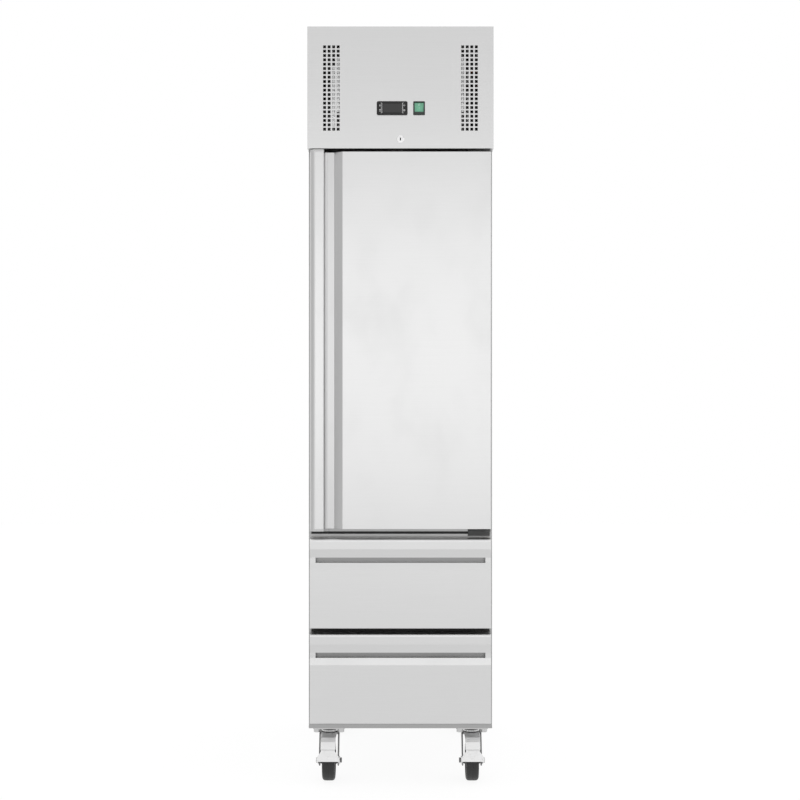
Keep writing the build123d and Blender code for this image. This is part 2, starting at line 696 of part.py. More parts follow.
def make_evaporator():
    """The coil, its cover with the drip tray and the motor, and the fan."""
    coil = finned_coil(
        EVAPORATOR_COIL_HALF,
        EVAPORATOR_COIL_Y,
        EVAPORATOR_COIL_Z,
        EVAPORATOR_COIL_FINS,
        EVAPORATOR_TUBE_ROWS,
        EVAPORATOR_TUBE_COLUMNS,
        EVAPORATOR_COIL_Z[0] - EVAPORATOR_Z - EVAPORATOR_SHEET - JOINT / 3,
    )
    coil.label = "evaporator_coil"
    export_step(coil, "parts/evaporator_coil.step")

    wheel = fan_wheel(
        (0, EVAPORATOR_FRONT + EVAPORATOR_FAN_SETBACK, EVAPORATOR_FAN_Z),
        EVAPORATOR_FAN,
        EVAPORATOR_FAN_DEPTH,
        FAN_BLADES,
        MOTOR_BORE_DEPTH - JOINT,
    )
    wheel.label = "evaporator_fan"
    export_step(wheel, "parts/evaporator_fan.step")

    motor_y = EVAPORATOR_FRONT + EVAPORATOR_FAN_SETBACK + EVAPORATOR_FAN_DEPTH + JOINT
    arm_reach = EVAPORATOR_FAN / 2 + FAN_CLEAR + SHEET
    motor = fan_motor(
        (0, motor_y, EVAPORATOR_FAN_Z), EVAPORATOR_MOTOR, EVAPORATOR_MOTOR_LENGTH, arm_reach
    )
    sheet = EVAPORATOR_SHEET
    with BuildPart() as evaporator_cover:
        block(
            mirrored(EVAPORATOR_HALF),
            (EVAPORATOR_FRONT, EVAPORATOR_BACK),
            (EVAPORATOR_Z, CEILING_Z - JOINT),
        )
        block(
            mirrored(EVAPORATOR_HALF - sheet),
            (EVAPORATOR_FRONT + sheet, EVAPORATOR_BACK),
            (EVAPORATOR_Z + sheet, CEILING_Z - JOINT),
            mode=Mode.SUBTRACT,
        )
        ring = Plane(
            origin=(0, EVAPORATOR_FRONT, EVAPORATOR_FAN_Z), x_dir=(1, 0, 0), z_dir=(0, 1, 0)
        )
        with BuildSketch(ring):
            Circle(EVAPORATOR_FAN / 2 + FAN_CLEAR + sheet)
        extrude(amount=EVAPORATOR_FAN_SETBACK + EVAPORATOR_FAN_DEPTH + JOINT)
        with BuildSketch(ring):
            Circle(EVAPORATOR_FAN / 2 + FAN_CLEAR)
        extrude(amount=EVAPORATOR_FAN_SETBACK + EVAPORATOR_FAN_DEPTH + JOINT, mode=Mode.SUBTRACT)
        with BuildSketch(ring):
            for radius in (0.2, 0.45, 0.7, 0.95):
                outer = (EVAPORATOR_FAN / 2 + FAN_CLEAR) * radius
                with BuildSketch(mode=Mode.PRIVATE) as wire_ring:
                    Circle(outer)
                    Circle(outer - sheet, mode=Mode.SUBTRACT)
                add(wire_ring.sketch)
            with PolarLocations(0, 3, start_angle=90):
                with Locations(((EVAPORATOR_FAN / 2 + FAN_CLEAR) / 2, 0)):
                    Rectangle(EVAPORATOR_FAN / 2 + FAN_CLEAR + sheet, sheet)
        extrude(amount=sheet)
        slot_pitch = 2 * EVAPORATOR_HALF / (INTAKE_SLOTS + 1)
        with BuildSketch(Plane.XY.offset(EVAPORATOR_Z)):
            with Locations((0, sum(EVAPORATOR_COIL_Y) / 2)):
                with GridLocations(slot_pitch, 1, INTAKE_SLOTS, 1):
                    SlotOverall(EVAPORATOR_COIL_DEPTH * 0.7, slot_pitch / 2, rotation=90)
        extrude(amount=sheet, mode=Mode.SUBTRACT)
        add(motor)
    evaporator_cover.part.label = "evaporator_cover"
    export_step(evaporator_cover.part, "parts/evaporator_cover.step")


# Machine space

def make_unit_plate():
    """The deck over the insulated box that carries the condensing unit."""
    with BuildPart() as unit_plate:
        block(
            mirrored(SHELL_INSIDE - JOINT),
            (BODY_Y + JOINT, BACK_Y - SHEET - JOINT),
            (BOX_TOP, DECK_Z),
        )
        with Locations((PASSAGE_X, PASSAGE_Y, DECK_Z)):
            Hole(radius=PASSAGE / 2, depth=PLATE_SHEET)
    unit_plate.part.label = "unit_plate"
    export_step(unit_plate.part, "parts/unit_plate.step")


def make_machine_cover():
    """The sheet that closes the machine space: a slotted back wall and a lid."""
    across = mirrored(SHELL_INSIDE - JOINT)
    lid_z = TOP_Z - COVER_DROP
    slot_pitch = 2 * SHELL_INSIDE / (COVER_SLOTS + 1)
    rows_middle = DECK_Z + COVER_FIRST_ROW + (COVER_ROWS - 1) * COVER_ROW_PITCH / 2
    with BuildPart() as machine_cover:
        block(across, (COVER_Y, COVER_Y + SHEET), (DECK_Z, lid_z))
        block(across, (BODY_Y + JOINT, BACK_Y - SHEET - JOINT), (lid_z - SHEET, lid_z))
        with BuildSketch(Plane.XZ.offset(-COVER_Y)):
            with Locations((0, rows_middle)):
                with GridLocations(slot_pitch, COVER_ROW_PITCH, COVER_SLOTS, COVER_ROWS):
                    SlotOverall(COVER_SLOT_LENGTH, COVER_SLOT, rotation=90)
        extrude(amount=-SHEET, mode=Mode.SUBTRACT)
        gland = Plane(origin=(GLAND_X, COVER_Y, DECK_Z + GLAND_RISE), z_dir=(0, 1, 0))
        with BuildSketch(gland):
            Circle(GLAND_NUT / 2 + 2 * SHEET)
        extrude(amount=SHEET)
        with BuildSketch(gland):
            Circle(GLAND_THREAD / 2 + JOINT)
        extrude(amount=SHEET, mode=Mode.SUBTRACT)
    machine_cover.part.label = "machine_cover"
    export_step(machine_cover.part, "parts/machine_cover.step")


def make_condenser():
    """The condenser coil, the shroud with its motor, and the fan that draws air through."""
    coil = finned_coil(
        COIL_HALF, COIL_Y, COIL_Z, COIL_FINS, COIL_TUBE_ROWS, COIL_TUBE_COLUMNS, COIL_FOOT
    )
    coil.label = "condenser_coil"
    export_step(coil, "parts/condenser_coil.step")

    fan_y = SHROUD_Y[0] + CONDENSER_FAN_SETBACK
    motor_y = fan_y + CONDENSER_FAN_DEPTH + JOINT
    centre = (0, fan_y, CONDENSER_FAN_Z)
    wheel = fan_wheel(centre, CONDENSER_FAN, CONDENSER_FAN_DEPTH, FAN_BLADES, MOTOR_BORE_DEPTH - JOINT)
    wheel.label = "condenser_fan"
    export_step(wheel, "parts/condenser_fan.step")

    reach = CONDENSER_FAN / 2 + FAN_CLEAR + SHROUD_SHEET
    motor = fan_motor(
        (0, motor_y, CONDENSER_FAN_Z), CONDENSER_MOTOR, CONDENSER_MOTOR_LENGTH, reach
    )
    ring = Plane(origin=(0, SHROUD_Y[0], CONDENSER_FAN_Z), x_dir=(1, 0, 0), z_dir=(0, 1, 0))
    with BuildPart() as condenser_shroud:
        block(mirrored(COIL_HALF), (SHROUD_Y[0], SHROUD_Y[0] + SHROUD_SHEET), COIL_Z)
        block(
            mirrored(COIL_HALF),
            (SHROUD_Y[0], SHROUD_Y[0] + SHROUD_DEPTH / 2),
            (DECK_Z, DECK_Z + SHROUD_SHEET),
        )
        block(
            mirrored(COIL_HALF), (SHROUD_Y[0], SHROUD_Y[0] + SHROUD_SHEET), (DECK_Z, COIL_Z[0])
        )
        with BuildSketch(ring):
            Circle(CONDENSER_FAN / 2 + FAN_CLEAR + SHROUD_SHEET)
        extrude(amount=motor_y - SHROUD_Y[0])
        with BuildSketch(ring):
            Circle(CONDENSER_FAN / 2 + FAN_CLEAR)
        extrude(amount=motor_y - SHROUD_Y[0], mode=Mode.SUBTRACT)
        add(motor)
    condenser_shroud.part.label = "condenser_shroud"
    export_step(condenser_shroud.part, "parts/condenser_shroud.step")


def make_compressor():
    """A hermetic compressor: a domed shell on a foot plate with four rubber feet."""
    radius = COMPRESSOR_DIAMETER / 2
    crown = radius * 0.15
    bottom = COMPRESSOR_Z + FOOT_SHEET
    top = COMPRESSOR_Z + COMPRESSOR_HEIGHT
    seam = bottom + (top - bottom) * 0.5
    section = Plane(origin=(COMPRESSOR_X, COMPRESSOR_Y, 0), x_dir=(1, 0, 0), z_dir=(0, -1, 0))
    with BuildPart() as compressor:
        with BuildSketch(section):
            with BuildLine():
                Polyline((0, bottom), (radius, bottom), (radius, top - crown), (0, top), close=True)
            make_face()
            round_corners(
                ((radius, bottom, radius * 0.25), (radius, top - crown, radius * 0.55))
            )
            with Locations(((radius + FOOT_SHEET) / 2, seam)):
                Rectangle(radius + FOOT_SHEET, FOOT_SHEET)
        revolve(axis=Axis((COMPRESSOR_X, COMPRESSOR_Y, 0), (0, 0, 1)))
        with BuildSketch(Plane.XY.offset(COMPRESSOR_Z)):
            with Locations((COMPRESSOR_X, COMPRESSOR_Y)):
                RectangleRounded(
                    FOOT_SPREAD_X + 2 * FOOT_MARGIN, FOOT_SPREAD_Y + 2 * FOOT_MARGIN, FOOT_ROUND
                )
        extrude(amount=FOOT_SHEET)
        with BuildSketch(Plane.XY.offset(DECK_Z)):
            with Locations((COMPRESSOR_X, COMPRESSOR_Y)):
                with GridLocations(FOOT_SPREAD_X, FOOT_SPREAD_Y, 2, 2):
                    Circle(FOOT_HEIGHT * 0.7)
        extrude(amount=FOOT_HEIGHT - JOINT / 3)
    compressor.part.label = "compressor"
    export_step(compressor.part, "parts/compressor.step")


def pipe_run(points, diameter):
    """A round pipe along straight runs joined by equal bends."""
    with BuildPart() as run:
        with BuildLine() as route:
            FilletPolyline(*points, radius=PIPE_BEND)
        with BuildSketch(Plane(origin=route.line @ 0, z_dir=route.line % 0)):
            Circle(diameter / 2)
        sweep()
    return run.part


def make_refrigerant_pipes():
    """Discharge, liquid and suction pipes, with the filter drier in the liquid pipe."""
    radius = COMPRESSOR_DIAMETER / 2
    coil_x = COIL_HALF + 2 * COIL_TUBE + COIL_TUBE / 2
    front_y = COIL_Y[0] + COIL_DEPTH / 4
    high_z = COIL_Z[1] - COIL_HEIGHT / 16
    low_z = COIL_Z[0] + COIL_HEIGHT / 16
    shell_z = COMPRESSOR_Z + COMPRESSOR_HEIGHT * 0.3
    suction_z = COMPRESSOR_Z + COMPRESSOR_HEIGHT * 0.68
    side_x = coil_x + PIPE_BEND + DISCHARGE_PIPE
    discharge = pipe_run(
        (
            (COMPRESSOR_X + radius + JOINT / 3, COMPRESSOR_Y, shell_z),
            (COMPRESSOR_X + radius + PIPE_OFFSET, COMPRESSOR_Y, shell_z),
            (COMPRESSOR_X + radius + PIPE_OFFSET, COMPRESSOR_Y - 2 * PIPE_OFFSET, high_z),
            (side_x, COMPRESSOR_Y - 3 * PIPE_OFFSET, high_z),
            (side_x, front_y, high_z),
            (coil_x, front_y, high_z),
        ),
        DISCHARGE_PIPE,
    )
    drier_y = COMPRESSOR_Y - COIL_DEPTH
    drier_z = DECK_Z + 2 * PIPE_RISE
    liquid_in = pipe_run(
        (
            (-coil_x, front_y, low_z),
            (-side_x, front_y, low_z),
            (-side_x, front_y + COIL_DEPTH, drier_z),
            (-side_x, drier_y - DRIER_LENGTH / 2, drier_z),
        ),
        LIQUID_PIPE,
    )
    rear_y = PASSAGE_Y
    well_x = PASSAGE_X - PIPE_PAIR
    evaporator_top = EVAPORATOR_COIL_Z[1]
    liquid_out = pipe_run(
        (
            (-side_x, drier_y + DRIER_LENGTH / 2, drier_z),
            (-side_x, rear_y, drier_z),
            (well_x, rear_y, drier_z + PIPE_RISE),
            (well_x, rear_y, evaporator_top),
        ),
        LIQUID_PIPE,
    )
    suction_x = PASSAGE_X + PIPE_PAIR
    suction = pipe_run(
        (
            (suction_x, rear_y, evaporator_top),
            (suction_x, rear_y, suction_z),
            (suction_x, COMPRESSOR_Y, suction_z),
            (COMPRESSOR_X + radius + JOINT / 3, COMPRESSOR_Y, suction_z),
        ),
        SUCTION_PIPE,
    )
    with BuildPart() as refrigerant_pipes:
        for run in (discharge, liquid_in, liquid_out, suction):
            add(run)
        drier = Plane(origin=(-side_x, drier_y, drier_z), x_dir=(1, 0, 0), z_dir=(0, 1, 0))
        with BuildSketch(drier):
            Circle(DRIER_DIAMETER / 2)
        extrude(amount=DRIER_LENGTH / 2, both=True)
        ends = refrigerant_pipes.edges().filter_by(GeomType.CIRCLE)
        chamfer(ends.filter_by(lambda edge: edge.radius > LIQUID_PIPE * 1.5), length=4.0)
    refrigerant_pipes.part.label = "refrigerant_pipes"
    export_step(refrigerant_pipes.part, "parts/refrigerant_pipes.step")


def make_electrical_box():
    """The wiring box on the deck with its lid, and the cable gland in the cover's back wall."""
    x_high = SHELL_INSIDE - BOX_SIDE_GAP
    x_range = (x_high - BOX_WIDTH, x_high)
    y_range = (COMPRESSOR_Y - BOX_LENGTH / 2, COMPRESSOR_Y + BOX_LENGTH / 2)
    gland_z = DECK_Z + GLAND_RISE
    with BuildPart() as electrical_box:
        block(x_range, y_range, (DECK_Z, DECK_Z + BOX_HEIGHT))
        fillet(electrical_box.edges().filter_by(Axis.Z), radius=BOX_LID)
        lid = (x_range[0] - SHEET, x_range[1] + SHEET)
        block(
            lid,
            (y_range[0] - SHEET, y_range[1] + SHEET),
            (DECK_Z + BOX_HEIGHT - 3 * BOX_LID, DECK_Z + BOX_HEIGHT + BOX_LID),
        )
        outside = Plane(origin=(GLAND_X, COVER_Y + SHEET + JOINT / 3, gland_z), z_dir=(0, 1, 0))
        with BuildSketch(outside):
            RegularPolygon(GLAND_NUT / 2, 6)
        extrude(amount=GLAND_LENGTH / 3)
        with BuildSketch(outside):
            Circle(GLAND_THREAD / 2)
        extrude(amount=GLAND_LENGTH)
        with BuildSketch(outside):
            Circle(GLAND_THREAD / 2)
        extrude(amount=-GLAND_LENGTH / 2)
        with BuildSketch(outside.offset(-SHEET - JOINT * 2 / 3)):
            RegularPolygon(GLAND_NUT / 2, 6)
        extrude(amount=-GLAND_LENGTH / 4)
        with BuildSketch(outside.offset(-GLAND_LENGTH / 2)):
            Circle(GLAND_BORE / 2)
        extrude(amount=2 * GLAND_LENGTH, mode=Mode.SUBTRACT)
    electrical_box.part.label = "electrical_box"
    export_step(electrical_box.part, "parts/electrical_box.step")


# Head fascia, controller, switch and lock


def make_head_fascia():
    """A folded tray facing the front, with two vent grids and the cut-outs for the controls."""
    depth = (FRONT_Y, BODY_Y)
    front = Plane.XZ.offset(-FRONT_Y)
    sheet = FASCIA_SHEET
    with BuildPart() as head_fascia:
        block(mirrored(HALF_WIDTH), depth, (HEAD_Z, TOP_Z))
        block(
            mirrored(HALF_WIDTH - sheet),
            (FRONT_Y + sheet, BODY_Y),
            (HEAD_Z + sheet, TOP_Z - sheet),
            mode=Mode.SUBTRACT,
        )
        with BuildSketch(front):
            for side in (-1, 1):
                with Locations((side * (HALF_WIDTH - VENT_INSET), TOP_Z - VENT_DROP)):
                    with GridLocations(VENT_PITCH_X, VENT_PITCH_Z, VENT_COLUMNS, VENT_ROWS):
                        Rectangle(VENT_HOLE, VENT_HOLE)
            with Locations((CONTROL_X, CONTROL_Z)):
                Rectangle(CASE_WIDTH + 2 * CUTOUT_CLEAR, CASE_HEIGHT + 2 * CUTOUT_CLEAR)
            with Locations((SWITCH_X, CONTROL_Z)):
                Rectangle(
                    SWITCH_BODY_WIDTH + 2 * CUTOUT_CLEAR, SWITCH_BODY_HEIGHT + 2 * CUTOUT_CLEAR
                )
            with Locations((0, LOCK_Z)):
                Circle(LOCK_BODY / 2 + RUNNING)
        extrude(amount=-sheet, mode=Mode.SUBTRACT)
        reach = sqrt(CAM_REACH**2 - LOCK_RISE**2) + CAM_CLEAR
        block(
            (-reach, CAM_HUB + CAM_CLEAR),
            (CAM_Y - CAM_CLEAR, CAM_Y + CAM_THICK + CAM_CLEAR),
            (HEAD_Z, HEAD_Z + sheet),
            mode=Mode.SUBTRACT,
        )
    head_fascia.part.label = "head_fascia"
    export_step(head_fascia.part, "parts/head_fascia.step")


def make_controller():
    """The controller's case with its bezel, the display window and four sprung buttons."""
    face_y = FRONT_Y - CONTROL_PROUD
    face = Plane(origin=(CONTROL_X, face_y, CONTROL_Z), x_dir=(1, 0, 0), z_dir=(0, -1, 0))
    inner = face.offset(-BEZEL_WALL)
    hole_width = BUTTON_WIDTH + 2 * BUTTON_CLEAR
    hole_height = BUTTON_HEIGHT + 2 * BUTTON_CLEAR
    places = [(x * BUTTON_X, z * BUTTON_Z) for x in (-1, 1) for z in (1, -1)]
    with BuildPart() as controller_case:
        with BuildSketch(face):
            RectangleRounded(CONTROL_WIDTH, CONTROL_HEIGHT, CONTROL_ROUND)
        extrude(amount=-CONTROL_PROUD)
        fillet(controller_case.edges().group_by(Axis.Y)[0], radius=CASE_ROUND)
        block(
            (CONTROL_X - CASE_WIDTH / 2, CONTROL_X + CASE_WIDTH / 2),
            (FRONT_Y, FRONT_Y + CASE_DEPTH),
            (CONTROL_Z - CASE_HEIGHT / 2, CONTROL_Z + CASE_HEIGHT / 2),
        )
        half_width = CASE_WIDTH / 2 - CASE_WALL
        half_height = CASE_HEIGHT / 2 - CASE_WALL
        block(
            (CONTROL_X - half_width, CONTROL_X + half_width),
            (face_y + BEZEL_WALL, FRONT_Y + CASE_DEPTH - CASE_WALL),
            (CONTROL_Z - half_height, CONTROL_Z + half_height),
            mode=Mode.SUBTRACT,
        )
        with BuildSketch(face):
            Rectangle(WINDOW_WIDTH, WINDOW_HEIGHT)
        extrude(amount=-WINDOW_DEPTH, mode=Mode.SUBTRACT)
        with BuildSketch(face):
            with Locations(*places):
                Rectangle(hole_width, hole_height)
        extrude(amount=-BEZEL_WALL, mode=Mode.SUBTRACT)
    controller_case.part.label = "controller_case"
    export_step(controller_case.part, "parts/controller_case.step")

    with BuildPart() as controller_window:
        with BuildSketch(face.offset(-WINDOW_DEPTH)):
            Rectangle(WINDOW_WIDTH - JOINT, WINDOW_HEIGHT - JOINT)
        extrude(amount=WINDOW_DEPTH - JOINT / 2)
    controller_window.part.label = "controller_window"
    export_step(controller_window.part, "parts/controller_window.step")

    for number, place in enumerate(places, start=1):
        with BuildPart() as button:
            with BuildSketch(face.offset(BUTTON_PROUD)):
                with Locations(place):
                    RectangleRounded(BUTTON_WIDTH, BUTTON_HEIGHT, 1.0)
            extrude(amount=-BUTTON_PROUD - BEZEL_WALL - BUTTON_PLAY)
            with BuildSketch(inner.offset(-BUTTON_PLAY)):
                with Locations(place):
                    Rectangle(BUTTON_WIDTH + 2 * BUTTON_FLANGE, BUTTON_HEIGHT + 2 * BUTTON_FLANGE)
            extrude(amount=-BUTTON_FLANGE_THICK)
        button.part.label = f"controller_button_{number}"
        export_step(button.part, f"parts/controller_button_{number}.step")


def make_switch():
    """The rocker switch: a housing snapped into the fascia and the rocker on its stubs."""
    face_y = FRONT_Y - SWITCH_PROUD
    pivot_y = face_y + ROCKER_PIVOT
    body_x = (SWITCH_X - SWITCH_BODY_WIDTH / 2, SWITCH_X + SWITCH_BODY_WIDTH / 2)
    well_half = ROCKER_WIDTH / 2 + ROCKER_CLEAR
    well_rise = ROCKER_RADIUS + ROCKER_CLEAR
    with BuildPart() as switch_housing:
        with BuildSketch(
            Plane(origin=(SWITCH_X, face_y, CONTROL_Z), x_dir=(1, 0, 0), z_dir=(0, -1, 0))
        ):
            RectangleRounded(SWITCH_WIDTH, SWITCH_HEIGHT, 2.0)
        extrude(amount=-SWITCH_PROUD)
        block(
            body_x,
            (FRONT_Y, FRONT_Y + SWITCH_BODY_DEPTH),
            (CONTROL_Z - SWITCH_BODY_HEIGHT / 2, CONTROL_Z + SWITCH_BODY_HEIGHT / 2),
        )
        block(
            (SWITCH_X - well_half, SWITCH_X + well_half),
            (face_y, FRONT_Y + SWITCH_BODY_DEPTH - SWITCH_FLOOR),
            (CONTROL_Z - well_rise, CONTROL_Z + well_rise),
            mode=Mode.SUBTRACT,
        )
        with BuildSketch(Plane.YZ.offset(body_x[0])):
            with Locations((pivot_y, CONTROL_Z)):
                Circle(ROCKER_STUB / 2 + RUNNING)
        extrude(amount=SWITCH_BODY_WIDTH, mode=Mode.SUBTRACT)
        with BuildSketch(Plane.XZ.offset(-FRONT_Y - SWITCH_BODY_DEPTH)):
            with Locations((SWITCH_X, CONTROL_Z)):
                with GridLocations(TERMINAL_SPREAD_X, TERMINAL_SPREAD_Z, 2, 2):
                    Rectangle(TERMINAL_SHEET, TERMINAL_WIDTH)
        extrude(amount=-TERMINAL_LENGTH)
    switch_housing.part.label = "switch_housing"
    export_step(switch_housing.part, "parts/switch_housing.step")

    end_z = ROCKER_RADIUS - ROCKER_TRIM
    with BuildPart() as switch_rocker:
        with BuildSketch(Plane.YZ.offset(SWITCH_X - ROCKER_WIDTH / 2)):
            with Locations((pivot_y, CONTROL_Z)):
                Circle(ROCKER_RADIUS)
            with BuildLine():
                Polyline(
                    (pivot_y + ROCKER_BACK, CONTROL_Z - 2 * ROCKER_RADIUS),
                    (pivot_y + ROCKER_BACK, CONTROL_Z + 2 * ROCKER_RADIUS),
                    (pivot_y - ROCKER_END, CONTROL_Z + 2 * ROCKER_RADIUS),
                    (pivot_y - ROCKER_END, CONTROL_Z + end_z),
                    (pivot_y - ROCKER_MIDDLE, CONTROL_Z),
                    (pivot_y - ROCKER_END, CONTROL_Z - end_z),
                    (pivot_y - ROCKER_END, CONTROL_Z - 2 * ROCKER_RADIUS),
                    close=True,
                )
            make_face(mode=Mode.INTERSECT)
        extrude(amount=ROCKER_WIDTH)
        stub_half = ROCKER_WIDTH / 2 + ROCKER_STUB_LENGTH
        with BuildSketch(Plane.YZ.offset(SWITCH_X - stub_half)):
            with Locations((pivot_y, CONTROL_Z)):
                Circle(ROCKER_STUB / 2)
        extrude(amount=2 * stub_half)
    tilt_axis = Axis((SWITCH_X, pivot_y, CONTROL_Z), (1, 0, 0))
    switch_rocker.part = switch_rocker.part.rotate(tilt_axis, ROCKER_TILT)
    switch_rocker.part.label = "switch_rocker"
    export_step(switch_rocker.part, "parts/switch_rocker.step")


def make_lock():
    """The lock barrel held by its nut, and the plug with the cam that drops into the door."""
    face = Plane(origin=(0, FRONT_Y - LOCK_PROUD, LOCK_Z), x_dir=(1, 0, 0), z_dir=(0, 1, 0))
    with BuildPart() as lock_barrel:
        with BuildSketch(face):
            Circle(LOCK_FLANGE / 2)
        extrude(amount=LOCK_PROUD)
        chamfer(lock_barrel.edges().group_by(Axis.Y)[0], length=LOCK_CHAMFER)
        with BuildSketch(face):
            Circle(LOCK_BODY / 2)
        extrude(amount=LOCK_PROUD + LOCK_LENGTH)
        with BuildSketch(face.offset(LOCK_PROUD + FASCIA_SHEET)):
            RegularPolygon(LOCK_NUT / 2, 6)
        extrude(amount=LOCK_NUT_THICK)
        with BuildSketch(face):
            Circle(PLUG_DIAMETER / 2 + RUNNING)
        extrude(amount=LOCK_PROUD + LOCK_LENGTH, mode=Mode.SUBTRACT)
    lock_barrel.part.label = "lock_barrel"
    export_step(lock_barrel.part, "parts/lock_barrel.step")

    plug_end = LOCK_PROUD + LOCK_LENGTH + JOINT
    with BuildPart() as lock_plug:
        with BuildSketch(face.offset(JOINT)):
            Circle(PLUG_DIAMETER / 2)
        extrude(amount=plug_end - JOINT)
        with BuildSketch(face.offset(JOINT)):
            Rectangle(KEYWAY_WIDTH, KEYWAY_HEIGHT)
        extrude(amount=KEYWAY_DEPTH, mode=Mode.SUBTRACT)
        with BuildSketch(face.offset(plug_end)):
            Circle(CAM_HUB)
            with Locations((-(CAM_REACH - CAM_TIP), 0)):
                Circle(CAM_TIP)
            make_hull()
        extrude(amount=CAM_THICK)
        with BuildSketch(face.offset(plug_end + CAM_THICK)):
            RegularPolygon(PLUG_DIAMETER / 2, 6)
        extrude(amount=CAM_THICK)
    lock_plug.part.label = "lock_plug"
    export_step(lock_plug.part, "parts/lock_plug.step")


def cam_slot():
    """Cut the slot that the lock's cam turns into, in the door's top edge."""
    reach = sqrt(CAM_REACH**2 - (LOCK_RISE + HEAD_GAP) ** 2) + 2 * CAM_CLEAR
    block(
        (-reach, CAM_HUB + CAM_CLEAR),
        (CAM_Y - CAM_CLEAR, CAM_Y + CAM_THICK + CAM_CLEAR),
        (LOCK_Z - CAM_REACH - 2 * CAM_CLEAR, DOOR_TOP),
        mode=Mode.SUBTRACT,
    )


# Door


def door_profile(inset):
    """The door's section across its height, with the handle pocket, drawn inset by a wall."""
    left = door_x(0)
    right = FRONT_HALF
    rounded = (
        (left, FRONT_Y, DOOR_EDGE_ROUND),
        (door_x(GRIP_WIDTH), FRONT_Y, GRIP_TIP_ROUND),
        (door_x(GRIP_WIDTH), FRONT_Y + POCKET_DEPTH, POCKET_ROUND),
        (right, FRONT_Y, FRONT_EDGE_ROUND),
    )
    with BuildSketch() as profile:
        with BuildLine():
            Polyline(
                (left, DOOR_BACK_Y),
                (left, FRONT_Y),
                (door_x(GRIP_WIDTH), FRONT_Y),
                (door_x(GRIP_WIDTH), FRONT_Y + POCKET_DEPTH),
                (door_x(POCKET_FLOOR), FRONT_Y + POCKET_DEPTH),
                (door_x(POCKET_WIDTH), FRONT_Y),
                (right, FRONT_Y),
                (right, DOOR_BACK_Y),
                close=True,
            )
        make_face()
        round_corners(rounded)
        if inset > 0:
            offset(amount=-inset, kind=Kind.INTERSECTION, mode=Mode.REPLACE)
    return profile.sketch


def bush_holes(margin):
    """Cut the two holes for the hinge bushes at the ends of the hinge axis."""
    with Locations((HINGE_X, HINGE_Y, DOOR_Z), (HINGE_X, HINGE_Y, DOOR_TOP)):
        Cylinder(BUSH_DIAMETER / 2 + margin, 2 * BUSH_LENGTH, mode=Mode.SUBTRACT)


